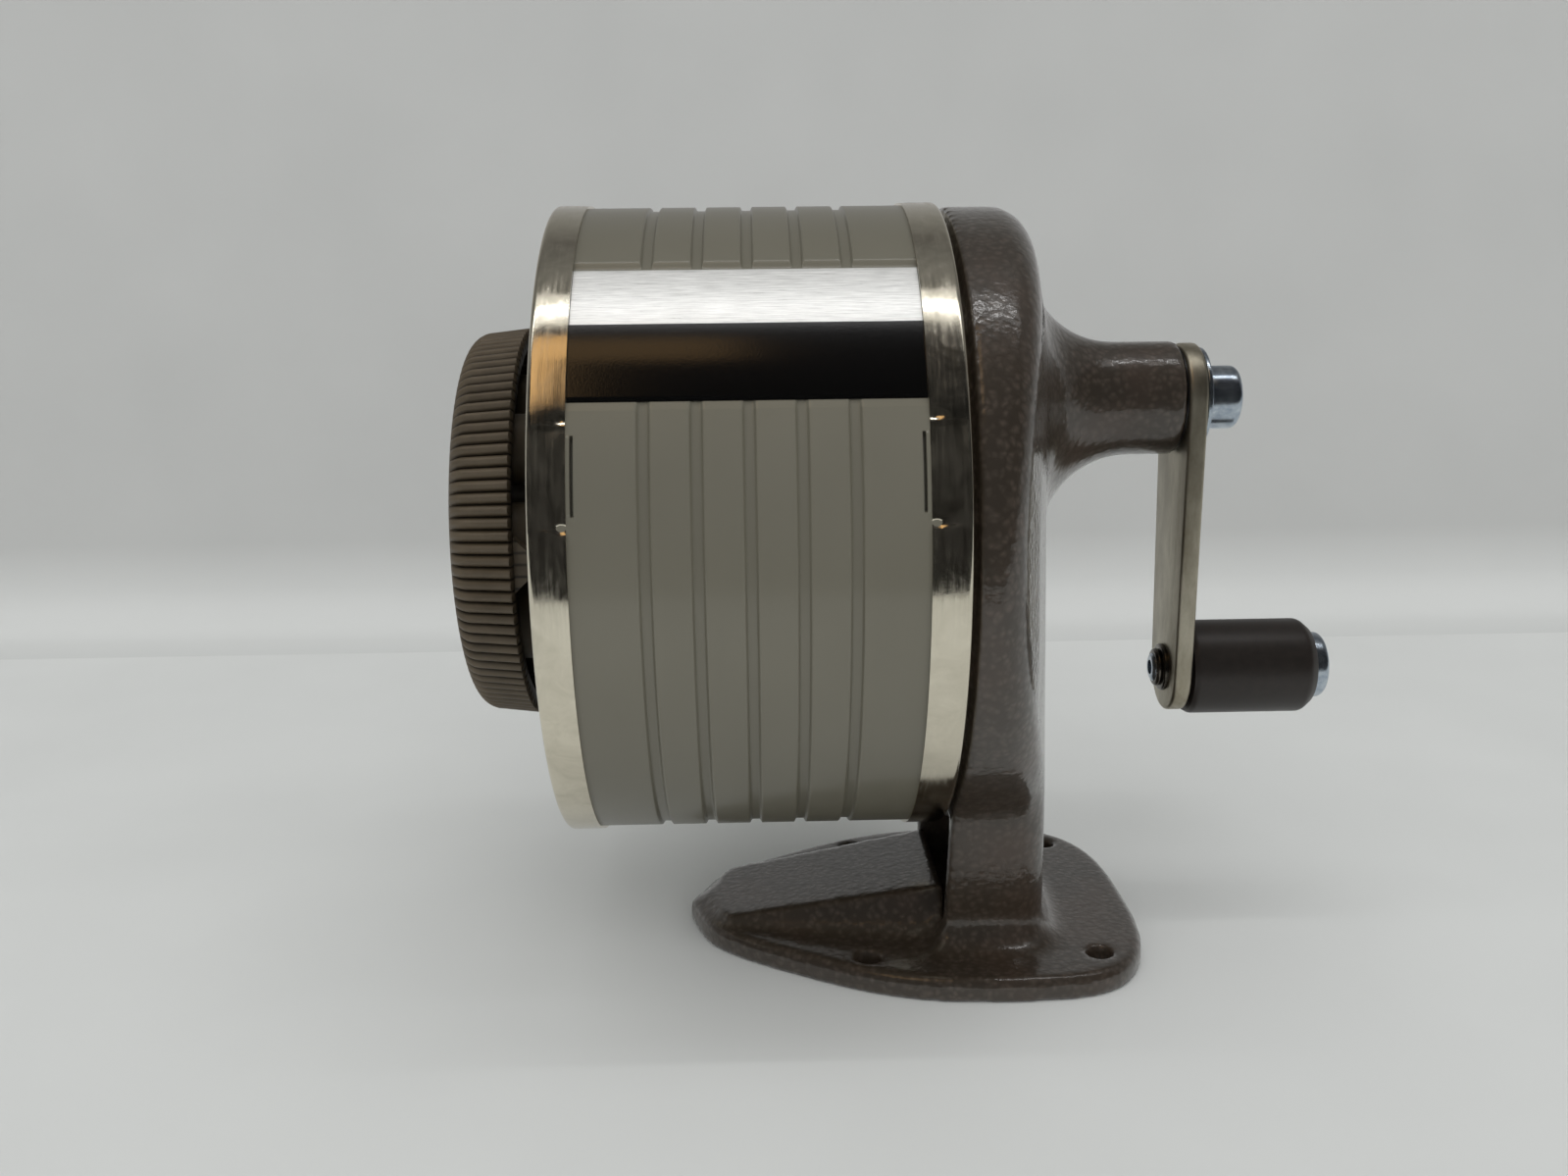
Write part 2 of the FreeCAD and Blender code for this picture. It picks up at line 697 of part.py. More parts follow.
def build_dial():
    """The moulded cup with a hub, eight sleeves for pencils and a sunk centre for the stud."""
    front = size.dial_front_x
    bore = size.stud_r + size.running_gap
    wall_x = front + size.dial_wall
    rim_in = size.dial_r - size.dial_wall
    cup = turned("dial_cup", [
        (front + size.dial_recess, bore), (front + size.dial_recess, size.dial_recess_r),
        (front, size.dial_recess_r), (front, size.dial_r - size.dial_edge),
        (front + size.dial_edge, size.dial_r), (size.dial_rim_x, size.dial_r),
        (size.dial_rim_x, rim_in), (wall_x, rim_in - 0.5),
        (wall_x, size.dial_hub_r + 2.0), (size.dial_hub_end_x, size.dial_hub_r),
        (size.dial_hub_end_x, bore),
    ], size.drum_axis_z)
    sleeves = []
    holes = []
    for step, radius in enumerate(PENCIL_HOLES):
        angle = 2 * math.pi * step / len(PENCIL_HOLES)
        y = size.hole_ring_r * -math.sin(angle)
        z = size.drum_axis_z + size.hole_ring_r * math.cos(angle)
        number = str(step + 1)
        sleeves.append(rod("sleeve_" + number, wall_x - 1, size.dial_hub_end_x,
                           size.sleeve_wall + radius, y, z))
        holes.append(rod("pencil_hole_" + number, front - 1, size.dial_hub_end_x + 1, radius, y, z))
    lug = solid_feature("dial_lug", dial_lug_shape())
    cup_and_sleeves = fuse("dial_solid", [cup, lug] + sleeves)
    return cut("dial", cup_and_sleeves, fuse("dial_holes", holes))


keep("selector_dial", build_dial())
stud_seat_x = size.dial_front_x + size.dial_recess
keep("dial_stud", turned("stud", [
    (stud_seat_x - size.stud_head - 0.3, 0.0), (stud_seat_x - size.stud_head - 0.3, size.stud_head_r),
    (stud_seat_x - 0.3, size.stud_head_r), (stud_seat_x - 0.3, size.stud_r),
    (plate_back_x, size.stud_r), (plate_back_x, size.stud_head_r),
    (plate_back_x + size.stud_head, size.stud_head_r - 1.0), (plate_back_x + size.stud_head, 0.0),
], size.drum_axis_z))
keep("dial_washer", tube("washer_dial", size.dial_hub_end_x + 0.1, plate_x - size.spring_sheet - 0.1,
                         size.stud_r + size.running_gap, size.dial_hub_r, size.drum_axis_z))


def build_detent_spring():
    """A flat spring on the front plate, with a raised nose that clicks behind the dial."""
    back = plate_x
    front = plate_x - size.spring_sheet
    half = size.spring_half_width
    axis_z = size.drum_axis_z
    leaf = block("detent_leaf", (front, -half, axis_z - size.spring_low),
                 (back, half, axis_z + size.dial_hub_r))
    eye = rod("detent_eye", front - 1, back + 1, size.stud_r + 0.1, 0.0, axis_z)
    nose = rod("detent_nose", size.detent_nose_x, back, size.detent_nose_r,
               0.0, axis_z - size.detent_nose_low)
    return cut("detent", fuse("detent_solid", [leaf, nose]), eye)


keep("detent_spring", build_detent_spring())


# ---------------------------------------------------------------- gears and cutters

def tooth_ring(teeth, tip_r, root_r, tip_share, root_share, first_angle):
    """A closed outline of straight-sided teeth about the origin, as (across, up) corners."""
    pitch = 2 * math.pi / teeth
    corners = []
    for step in range(teeth):
        centre = math.radians(first_angle) + step * pitch
        for radius, share in ((root_r, -root_share), (tip_r, -tip_share),
                              (tip_r, tip_share), (root_r, root_share)):
            angle = centre + share * pitch / 2
            corners.append((radius * math.cos(angle), radius * math.sin(angle)))
    return corners


def prism_x(corners, start, end, z):
    """A prism along X over an outline of (y, z) corners about height z."""
    ring = [FreeCAD.Vector(start, across, z + up) for across, up in corners]
    face = Part.Face(Part.makePolygon(ring + ring[:1]))
    return face.extrude(FreeCAD.Vector(end - start, 0, 0))


def ring_gear_shape():
    """The fixed ring with its teeth inside, and three screw holes."""
    z = plain.crank_axis_z
    start = plain.ring_front_x
    end = plain.spindle_boss_x
    half_pitch = 180.0 / plain.ring_teeth
    inside = tooth_ring(int(plain.ring_teeth), plain.ring_tip_r, plain.ring_root_r,
                        plain.ring_tip_share, plain.ring_root_share, 90 + half_pitch)
    ring = cylinder_x(start, end, plain.ring_outer_r, 0, z)
    ring = ring.cut(prism_x(inside, start - 1, end + 1, z))
    screws = [cylinder_x(start - 1, end + 1, plain.gear_screw_r, y, height)
              for y, height in gear_screw_places()]
    return ring.cut(screws)


def gear_screws_shape():
    """Three cheese-head screws, slotted, that hold the ring gear on the boss."""
    screws = []
    head_x = plain.ring_front_x - plain.gear_screw_head
    slot_long = 2 * plain.gear_screw_head_r
    for y, z in gear_screw_places():
        shank = cylinder_x(plain.ring_front_x, plain.ring_front_x + plain.gear_screw_depth,
                           plain.gear_screw_r, y, z)
        head = cylinder_x(head_x, plain.ring_front_x, plain.gear_screw_head_r, y, z)
        corner = FreeCAD.Vector(head_x, y - slot_long / 2, z - plain.slot_wide / 2)
        slot = Part.makeBox(plain.slot_deep, slot_long, plain.slot_wide, corner)
        screws.append(shank.fuse(head).cut(slot))
    return Part.makeCompound(screws)


def cutter_shape():
    """One hardened cutter: a roll with helical teeth, a neck and a pinion, about the X axis.

    The gear plane is at x = 0 and the roll reaches towards -X.
    """
    sections = []
    steps = 6
    for step in range(steps + 1):
        share = step / steps
        x = -plain.roll_start - plain.roll_length * (1 - share)
        corners = tooth_ring(int(plain.roll_teeth), plain.roll_r, plain.roll_r - plain.roll_flute,
                             plain.roll_tip_share, plain.roll_root_share, plain.roll_twist * share)
        ring = [FreeCAD.Vector(x, across, up) for across, up in corners]
        sections.append(Part.makePolygon(ring + ring[:1]))
    roll = Part.makeLoft(sections, True, True)
    half = plain.pinion_half_width
    neck = cylinder_x(-plain.roll_start - 0.5, half, plain.roll_neck_r, 0, 0)
    teeth = tooth_ring(int(plain.pinion_teeth), plain.pinion_tip_r, plain.pinion_root_r,
                       plain.pinion_tip_share, plain.pinion_root_share, 90)
    pinion = prism_x(teeth, -half, half, 0)
    bore = cylinder_x(-60, 10, plain.axle_r + plain.axle_gap, 0, 0)
    return roll.fuse([neck, pinion]).cut(bore)


def axle_shape():
    """The straight pin that a cutter turns on, about the X axis."""
    return cylinder_x(-plain.axle_front, plain.axle_rear, plain.axle_r, 0, 0)


def tilted(shape, half_turns):
    """Carry a shape from the X axis to a cutter's place, tilted towards the crank axis."""
    crank_axis = FreeCAD.Vector(0, 0, plain.crank_axis_z)
    placed = shape.copy()
    placed.rotate(FreeCAD.Vector(), ALONG_Y, plain.cutter_tilt)
    placed.translate(FreeCAD.Vector(plain.gear_plane_x, 0, plain.crank_axis_z + plain.gear_offset))
    placed.rotate(crank_axis, ALONG_X, 180 * half_turns)
    return placed


keep("ring_gear", solid_feature("gear_ring", ring_gear_shape()))
keep("gear_screws", solid_feature("screws_gear", gear_screws_shape()))
keep("cutter_a", solid_feature("upper_cutter", tilted(cutter_shape(), 0)))
keep("cutter_b", solid_feature("lower_cutter", tilted(cutter_shape(), 1)))
axles = [solid_feature("axle_" + str(side), tilted(axle_shape(), side)) for side in (0, 1)]
keep("cutter_axles", group("axle_pair", axles))


def build_cutter_frame():
    """The frame that carries both cutters: a hub, two arms and a front ring with a mouth."""
    z = size.crank_axis_z
    hub = turned("frame_hub", [
        (size.frame_hub_x, 0.0), (size.frame_hub_x, size.frame_hub_r),
        (size.frame_hub_end_x, size.frame_hub_r), (size.frame_hub_end_x, size.frame_neck_r),
        (size.frame_neck_end_x, size.frame_neck_r), (size.frame_neck_end_x, size.shaft_r),
        (size.shaft_start_x, size.shaft_r), (size.shaft_start_x, 0.0),
    ], z)
    mouth = turned("frame_mouth", [
        (size.frame_ring_x, size.pencil_way_r), (size.frame_ring_x, size.frame_ring_r),
        (size.frame_ring_end_x, size.frame_ring_r), (size.frame_ring_end_x, size.pencil_way_r),
    ], z)
    pieces = [hub, mouth]
    for side in ("near", "far"):
        sign = -1 if side == "near" else 1
        for name, start, end, low, high, half in (
                ("rear_arm_", size.frame_arm_end_x - 1, size.frame_hub_x + 1,
                 size.frame_rear_arm_in, size.frame_rear_arm_out, size.frame_rear_arm_half),
                ("long_arm_", size.frame_ring_end_x - 1, size.frame_arm_end_x,
                 size.frame_arm_in, size.frame_arm_out, size.frame_arm_half)):
            y_low, y_high = (low, high) if sign > 0 else (-high, -low)
            pieces.append(block(name + side, (start, y_low, z - half), (end, y_high, z + half)))
    return cut("frame_drilled", fuse("frame_solid", pieces), group("axle_holes", axles))


keep("cutter_frame", build_cutter_frame())


# ---------------------------------------------------------------- crank and handle

shaft_end_x = size.arm_x + size.arm_thick - 0.2
shaft_shoulder_x = size.arm_x
keep("crank_shaft", turned("shaft", [
    (size.shaft_start_x, 0.0), (size.shaft_start_x, size.shaft_r),
    (shaft_shoulder_x, size.shaft_r), (shaft_shoulder_x, size.shaft_end_r),
    (shaft_end_x, size.shaft_end_r), (shaft_end_x, size.crank_bolt_r),
    (size.crank_bolt_depth_x, size.crank_bolt_r), (size.crank_bolt_depth_x, 0.0),
], size.crank_axis_z))
keep("thrust_washer", tube("washer_thrust", size.neck_end_x + size.running_gap, size.arm_x,
                           size.shaft_r + size.running_gap, size.thrust_washer_r, size.crank_axis_z))


def build_crank_arm():
    """The flat steel bar between the shaft and the handle."""
    throw = size.handle_axis_z - size.crank_axis_z
    middle = throw / 2
    end = size.arm_x + size.arm_thick
    bar = plate("arm_bar", size.arm_x, size.arm_thick, [], size.crank_axis_z, polygon=[
        (-size.arm_top_r, 0.0), (-size.arm_waist, middle), (-size.arm_low_r, throw),
        (size.arm_low_r, throw), (size.arm_waist, middle), (size.arm_top_r, 0.0)])
    top = rod("arm_top", size.arm_x, end, size.arm_top_r, 0.0, size.crank_axis_z)
    low = rod("arm_low", size.arm_x, end, size.arm_low_r, 0.0, size.handle_axis_z)
    eye = rod("arm_eye", size.arm_x - 1, end + 1, size.shaft_end_r, 0.0, size.crank_axis_z)
    screw_eye = rod("arm_screw_eye", size.arm_x - 1, end + 1, size.handle_screw_r,
                    0.0, size.handle_axis_z)
    return cut("arm", fuse("arm_solid", [bar, top, low]), fuse("arm_eyes", [eye, screw_eye]))


keep("crank_arm", build_crank_arm())
washer_end_x = size.crank_washer_x + size.crank_washer_thick
keep("crank_washer", tube("washer_crank", size.crank_washer_x, washer_end_x,
                          size.crank_bolt_r, size.crank_washer_r, size.crank_axis_z))
keep("crank_bolt", turned("bolt_crank", [
    (size.crank_bolt_depth_x, 0.0), (size.crank_bolt_depth_x, size.crank_bolt_r),
    (washer_end_x, size.crank_bolt_r), (washer_end_x, size.bolt_head_r),
    (size.bolt_head_end_x - 1, size.bolt_head_r), (size.bolt_head_end_x, size.bolt_head_r - 1.6),
    (size.bolt_head_end_x, 0.0),
], size.crank_axis_z))
keep("handle_knob", turned("knob", [
    (size.knob_x, size.handle_screw_r + size.running_gap), (size.knob_x, size.knob_r),
    (size.knob_end_x - size.knob_chamfer, size.knob_r),
    (size.knob_end_x, size.knob_r - size.knob_chamfer),
    (size.knob_end_x, size.handle_screw_r + size.running_gap),
], size.handle_axis_z))
disc_x = size.knob_end_x + 0.1
keep("handle_screw", turned("screw_handle", [
    (size.handle_screw_tip_x, 0.0), (size.handle_screw_tip_x, size.handle_screw_r - 0.6),
    (size.handle_screw_tip_x + 0.5, size.handle_screw_r), (disc_x, size.handle_screw_r),
    (disc_x, size.handle_disc_r), (size.handle_disc_end_x - 0.4, size.handle_disc_r),
    (size.handle_disc_end_x, size.handle_disc_r - 0.6), (size.handle_disc_end_x, 0.0),
], size.handle_axis_z))


def build_handle_nut():
    """The hexagon nut that holds the handle screw in the arm."""
    corners = []
    for step in range(6):
        angle = math.radians(60 * step + 30)
        corners.append((size.handle_nut_r * math.cos(angle), size.handle_nut_r * math.sin(angle)))
    return plate("nut_handle", size.handle_nut_x, size.arm_x - size.handle_nut_x,
                 [(0.0, 0.0, size.handle_screw_r)], size.handle_axis_z, polygon=corners)


keep("handle_nut", build_handle_nut())


# ---------------------------------------------------------------- check and write

document.recompute()
for item in document.Objects:
    if "Invalid" in item.State or "Error" in item.State:
        raise RuntimeError("failed: " + item.Name)
for label, piece in parts.items():
    if piece.Shape.isNull() or not piece.Shape.isValid():
        raise RuntimeError("bad shape: " + label)

os.makedirs("parts", exist_ok=True)
for label, piece in parts.items():
    piece.Shape.exportStep("parts/" + label + ".step")
    print(label, len(piece.Shape.Solids), round(piece.Shape.Volume, 1))
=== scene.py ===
"""A crank pencil sharpener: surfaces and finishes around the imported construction, in metres."""

import math

import bmesh
import bpy
from mathutils import Matrix, Vector


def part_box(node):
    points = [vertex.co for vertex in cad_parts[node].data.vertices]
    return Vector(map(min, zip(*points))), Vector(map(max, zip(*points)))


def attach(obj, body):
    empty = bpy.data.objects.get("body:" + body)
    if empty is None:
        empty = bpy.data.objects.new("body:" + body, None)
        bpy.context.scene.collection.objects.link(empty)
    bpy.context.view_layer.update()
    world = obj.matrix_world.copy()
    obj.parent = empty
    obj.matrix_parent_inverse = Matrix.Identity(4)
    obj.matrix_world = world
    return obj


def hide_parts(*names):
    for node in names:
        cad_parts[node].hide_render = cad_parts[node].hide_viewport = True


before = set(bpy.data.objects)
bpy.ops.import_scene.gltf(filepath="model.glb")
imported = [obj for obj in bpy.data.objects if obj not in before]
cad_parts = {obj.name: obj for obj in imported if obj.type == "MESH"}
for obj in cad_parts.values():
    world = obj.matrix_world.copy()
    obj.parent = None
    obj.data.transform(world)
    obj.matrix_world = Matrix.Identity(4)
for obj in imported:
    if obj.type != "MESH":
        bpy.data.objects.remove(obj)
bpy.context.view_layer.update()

MM = 0.001
TURN = 2 * math.pi


def corner(node, side):
    """The lowest (0) or highest (1) corner of a node of the construction."""
    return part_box(node)[side]


def centre(node):
    low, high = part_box(node)
    return (low + high) / 2


# Ribs round the dial's rim, the label's radius, and where its black band starts and ends, in degrees.
RIBS = 104
LABEL_R = 52
BLACK_BAND = (27.0, 41.2)

drum_z = centre("front_cap").z
crank_z = centre("crank_bolt").z
handle_z = centre("handle_knob").z


# ---------------------------------------------------------------- colour and node helpers

def colour(text):
    """An sRGB hex colour as linear red, green, blue and full cover."""
    linear = []
    for start in (0, 2, 4):
        value = int(text[start:start + 2], 16) / 255
        linear.append(value / 12.92 if value <= 0.04045 else ((value + 0.055) / 1.055) ** 2.4)
    return (*linear, 1.0)


def add(tree, kind, inputs=None, stops=(), **settings):
    """Add a node with its settings and colour stops, and set or link its inputs."""
    made = tree.nodes.new(kind)
    for name, value in settings.items():
        setattr(made, name, value)
    for name, value in (inputs or {}).items():
        if isinstance(value, bpy.types.NodeSocket):
            tree.links.new(value, made.inputs[name])
        else:
            made.inputs[name].default_value = value
    while stops and len(made.color_ramp.elements) < len(stops):
        made.color_ramp.elements.new(0.5)
    for index, (position, text) in enumerate(stops):
        made.color_ramp.elements[index].position = position
        made.color_ramp.elements[index].color = colour(text)
    return made


def new_material(name, **sockets):
    """A material with one principled surface whose even values are set on its own sockets."""
    material = bpy.data.materials.new(name)
    material.use_nodes = True
    tree = material.node_tree
    tree.nodes.clear()
    surface = add(tree, "ShaderNodeBsdfPrincipled")
    for socket, value in sockets.items():
        surface.inputs[socket.replace("_", " ")].default_value = value
    output = add(tree, "ShaderNodeOutputMaterial")
    tree.links.new(surface.outputs["BSDF"], output.inputs["Surface"])
    place = add(tree, "ShaderNodeTexCoord").outputs["Object"]
    return material, tree, surface, place


def per_mm(size):
    """The scale that makes one pattern cell the given size in millimetres."""
    return 1 / (size * MM)


def around_x(tree, place, axis_z):
    """Coordinates that follow a drum about X: along the axis, and the angle above the near side."""
    parts = add(tree, "ShaderNodeSeparateXYZ", {"Vector": place})
    up = add(tree, "ShaderNodeMath", {0: parts.outputs["Z"], 1: axis_z}, operation="SUBTRACT")
    out = add(tree, "ShaderNodeMath", {0: parts.outputs["Y"], 1: -1.0}, operation="MULTIPLY")
    angle = add(tree, "ShaderNodeMath", {0: up.outputs[0], 1: out.outputs[0]},
                operation="ARCTAN2")
    return parts.outputs["X"], angle.outputs[0]


# ---------------------------------------------------------------- materials

def hammertone_enamel():
    """Brown hammer-finish enamel: a hard gloss over leafing aluminium, mottled in wormy cells."""
    material, tree, surface, place = new_material(
        "hammertone_enamel", Metallic=0.15, Coat_Weight=0.9, Coat_Roughness=0.09)
    sway = add(tree, "ShaderNodeTexNoise", {"Vector": place, "Scale": per_mm(2.2), "Detail": 2.0})
    drift = add(tree, "ShaderNodeVectorMath", {0: sway.outputs["Color"], "Scale": 1.8 * MM},
                operation="SCALE")
    moved = add(tree, "ShaderNodeVectorMath", {0: place, 1: drift.outputs[0]}, operation="ADD")
    cells = add(tree, "ShaderNodeTexVoronoi",
                {"Vector": moved.outputs[0], "Scale": per_mm(1.2), "Smoothness": 0.35},
                feature="SMOOTH_F1").outputs["Distance"]
    tone = add(tree, "ShaderNodeValToRGB", {"Fac": cells},
               [(0.10, "453b33"), (0.34, "3a322a"), (0.58, "30281f")])
    brown = add(tree, "ShaderNodeTexNoise", {"Vector": place, "Scale": per_mm(15), "Detail": 3.0})
    share = add(tree, "ShaderNodeMapRange", {"Value": brown.outputs["Fac"], "From Min": 0.5,
                                             "From Max": 0.75, "To Min": 0.0, "To Max": 0.5})
    warmed = add(tree, "ShaderNodeMix", {"Factor": share.outputs["Result"],
                                         "A": tone.outputs["Color"], "B": colour("46352a")},
                 data_type="RGBA")
    tree.links.new(warmed.outputs["Result"], surface.inputs["Base Color"])
    rough = add(tree, "ShaderNodeMapRange", {"Value": cells, "To Min": 0.34, "To Max": 0.48})
    tree.links.new(rough.outputs["Result"], surface.inputs["Roughness"])
    peel = add(tree, "ShaderNodeTexNoise", {"Vector": place, "Scale": per_mm(1.0), "Detail": 2.0})
    soft = add(tree, "ShaderNodeBump",
               {"Height": cells, "Strength": 0.13, "Distance": 0.3 * MM})
    skin = add(tree, "ShaderNodeBump", {"Height": peel.outputs["Fac"], "Strength": 0.24,
                                        "Distance": 0.2 * MM, "Normal": soft.outputs["Normal"]})
    tree.links.new(skin.outputs["Normal"], surface.inputs["Normal"])
    tree.links.new(skin.outputs["Normal"], surface.inputs["Coat Normal"])
    return material


def drum_enamel():
    """Taupe stoving enamel on pressed sheet: an even satin coat with faint orange peel."""
    material, tree, surface, place = new_material(
        "taupe_stoving_enamel", Coat_Weight=0.35, Coat_Roughness=0.13, IOR=1.5)
    cloud = add(tree, "ShaderNodeTexNoise", {"Vector": place, "Scale": per_mm(22), "Detail": 2.0})
    tone = add(tree, "ShaderNodeValToRGB", {"Fac": cloud.outputs["Fac"]},
               [(0.3, "636054"), (0.7, "666357")])
    tree.links.new(tone.outputs["Color"], surface.inputs["Base Color"])
    rough = add(tree, "ShaderNodeMapRange", {"Value": cloud.outputs["Fac"], "To Min": 0.34,
                                             "To Max": 0.42})
    tree.links.new(rough.outputs["Result"], surface.inputs["Roughness"])
    peel = add(tree, "ShaderNodeTexNoise", {"Vector": place, "Scale": per_mm(0.9), "Detail": 2.0})
    skin = add(tree, "ShaderNodeBump", {"Height": peel.outputs["Fac"], "Strength": 0.06,
                                        "Distance": 0.06 * MM})
    tree.links.new(skin.outputs["Normal"], surface.inputs["Normal"])
    return material


def nickel_plate():
    """Bright, slightly yellow nickel plate: scratches run round the ring, and hands smeared it."""
    material, tree, surface, place = new_material("bright_nickel_plate", Metallic=1.0)
    along, angle = around_x(tree, place, drum_z)
    drawn = add(tree, "ShaderNodeMath", {0: angle, 1: 3.0 * MM}, operation="MULTIPLY")
    swept = add(tree, "ShaderNodeCombineXYZ", {"X": along, "Y": drawn.outputs[0]})
    scratch = add(tree, "ShaderNodeTexNoise", {
        "Vector": swept.outputs[0], "Scale": per_mm(0.45), "Detail": 3.0, "Roughness": 0.7})
    smear = add(tree, "ShaderNodeTexNoise", {
        "Vector": place, "Scale": per_mm(5), "Detail": 5.0, "Roughness": 0.65, "Distortion": 0.8})
    tone = add(tree, "ShaderNodeValToRGB", {"Fac": smear.outputs["Fac"]},
               [(0.35, "d3ccba"), (0.62, "e2dbc9")])
    tree.links.new(tone.outputs["Color"], surface.inputs["Base Color"])
    both = add(tree, "ShaderNodeMath",
               {0: scratch.outputs["Fac"], 1: smear.outputs["Fac"]}, operation="MULTIPLY")
    rough = add(tree, "ShaderNodeMapRange", {"Value": both.outputs[0], "From Min": 0.12,
                                             "From Max": 0.40, "To Min": 0.07, "To Max": 0.24})
    tree.links.new(rough.outputs["Result"], surface.inputs["Roughness"])
    dents = add(tree, "ShaderNodeBump", {"Height": smear.outputs["Fac"], "Strength": 0.10,
                                         "Distance": 0.10 * MM})
    lines = add(tree, "ShaderNodeBump", {"Height": scratch.outputs["Fac"], "Strength": 0.18,
                                         "Distance": 0.04 * MM, "Normal": dents.outputs["Normal"]})
    tree.links.new(lines.outputs["Normal"], surface.inputs["Normal"])
    return material


def label_finish():
    """Brushed aluminium, nearly white under the lamps, printed with gloss black along its foot."""
    material, tree, surface, place = new_material("brushed_plate_with_black_band")
    along, angle = around_x(tree, place, drum_z)
    above = add(tree, "ShaderNodeMath", {0: angle, 1: math.radians(BLACK_BAND[0])},
                operation="GREATER_THAN")
    below = add(tree, "ShaderNodeMath", {0: angle, 1: math.radians(BLACK_BAND[1])},
                operation="LESS_THAN")
    black = add(tree, "ShaderNodeMath", {0: above.outputs[0], 1: below.outputs[0]},
                operation="MULTIPLY").outputs[0]
    drawn = add(tree, "ShaderNodeMath", {0: along, 1: 0.05}, operation="MULTIPLY")
    girth = add(tree, "ShaderNodeMath", {0: angle, 1: LABEL_R * MM}, operation="MULTIPLY")
    brushed = add(tree, "ShaderNodeCombineXYZ", {"X": drawn.outputs[0], "Y": girth.outputs[0]})
    grain = add(tree, "ShaderNodeTexNoise", {
        "Vector": brushed.outputs[0], "Scale": per_mm(0.25), "Detail": 3.0, "Roughness": 0.7})
    bare = add(tree, "ShaderNodeValToRGB", {"Fac": grain.outputs["Fac"]},
               [(0.3, "c4c4c2"), (0.65, "f0f0ee")])
    tone = add(tree, "ShaderNodeMix", {
        "Factor": black, "A": bare.outputs["Color"], "B": colour("040404")}, data_type="RGBA")
    tree.links.new(tone.outputs["Result"], surface.inputs["Base Color"])
    metal = add(tree, "ShaderNodeMapRange", {"Value": black, "To Min": 0.4, "To Max": 0.0})
    tree.links.new(metal.outputs["Result"], surface.inputs["Metallic"])
    speckle = add(tree, "ShaderNodeTexNoise", {"Vector": place, "Scale": per_mm(0.3),
                                               "Detail": 2.0})
    plain = add(tree, "ShaderNodeMapRange", {"Value": grain.outputs["Fac"], "To Min": 0.22,
                                             "To Max": 0.40})
    printed = add(tree, "ShaderNodeMapRange", {"Value": speckle.outputs["Fac"], "To Min": 0.08,
                                               "To Max": 0.20})
    rough = add(tree, "ShaderNodeMix", {
        "Factor": black, "A": plain.outputs["Result"], "B": printed.outputs["Result"]},
        data_type="FLOAT")
    tree.links.new(rough.outputs["Result"], surface.inputs["Roughness"])
    surface.inputs["IOR"].default_value = 1.65
    height = add(tree, "ShaderNodeMix", {
        "Factor": black, "A": grain.outputs["Fac"], "B": speckle.outputs["Fac"]},
        data_type="FLOAT")
    tooth = add(tree, "ShaderNodeBump", {"Height": height.outputs["Result"], "Strength": 0.2,
                                         "Distance": 0.03 * MM})
    tree.links.new(tooth.outputs["Normal"], surface.inputs["Normal"])
    return material


def plastic(name, low, high, rough_low, rough_high, cell):
    """Moulded plastic: a satin skin whose colour and sheen wander a little with handling."""
    material, tree, surface, place = new_material(name, IOR=1.48)
    dust = add(tree, "ShaderNodeTexNoise", {"Vector": place, "Scale": per_mm(cell), "Detail": 4.0,
                                            "Roughness": 0.65})
    tone = add(tree, "ShaderNodeValToRGB", {"Fac": dust.outputs["Fac"]},
               [(0.35, low), (0.68, high)])
    tree.links.new(tone.outputs["Color"], surface.inputs["Base Color"])
    rough = add(tree, "ShaderNodeMapRange", {"Value": dust.outputs["Fac"], "To Min": rough_low,
                                             "To Max": rough_high})
    tree.links.new(rough.outputs["Result"], surface.inputs["Roughness"])
    fine = add(tree, "ShaderNodeTexNoise", {"Vector": place, "Scale": per_mm(0.5), "Detail": 2.0})
    grain = add(tree, "ShaderNodeBump", {"Height": fine.outputs["Fac"], "Strength": 0.10,
                                         "Distance": 0.05 * MM})
    tree.links.new(grain.outputs["Normal"], surface.inputs["Normal"])
    return material


def ribbed_plastic():
    """Brown moulded plastic, satin, with painted shade darkening the valleys between the rim's ribs.
    """
    material = plastic("brown_moulded_plastic", "4c4233", "584d3d", 0.40, 0.55, 5.0)
    tree = material.node_tree
    surface = next(node for node in tree.nodes if node.type == "BSDF_PRINCIPLED")
    place = next(node for node in tree.nodes if node.type == "TEX_COORD").outputs["Object"]
    along, angle = around_x(tree, place, drum_z)
    turned_by = add(tree, "ShaderNodeMath", {0: angle, 1: RIBS / 2}, operation="MULTIPLY")
    wave = add(tree, "ShaderNodeMath", {0: turned_by.outputs[0]}, operation="SINE")
    ridge = add(tree, "ShaderNodeMath", {0: wave.outputs[0]}, operation="ABSOLUTE")
    # Painted shade: the colour darkens towards each valley between the ribs, standing in for their
    # shadow.
    rib_valley_shade = add(tree, "ShaderNodeValToRGB", {"Fac": ridge.outputs[0]},
                [(0.10, "6a6864"), (0.55, "ffffff")])
    axis = add(tree, "ShaderNodeVectorMath", {0: place, 1: (0, 0, -drum_z)}, operation="ADD")
    flat = add(tree, "ShaderNodeVectorMath", {0: axis.outputs[0], 1: (0, 1, 1)},
               operation="MULTIPLY")
    reach = add(tree, "ShaderNodeVectorMath", {0: flat.outputs[0]}, operation="LENGTH")
    on_rim = add(tree, "ShaderNodeMapRange", {"Value": reach.outputs["Value"],
                                              "From Min": 29.4 * MM, "From Max": 31.0 * MM})
    # The painted valley shade is multiplied into the base colour on the rim only.
    valley_shaded_colour = add(tree, "ShaderNodeMix", {
        "Factor": on_rim.outputs["Result"], "A": surface.inputs["Base Color"].links[0].from_socket,
        "B": rib_valley_shade.outputs["Color"]}, data_type="RGBA", blend_type="MULTIPLY")
    tree.links.new(valley_shaded_colour.outputs["Result"], surface.inputs["Base Color"])
    return material


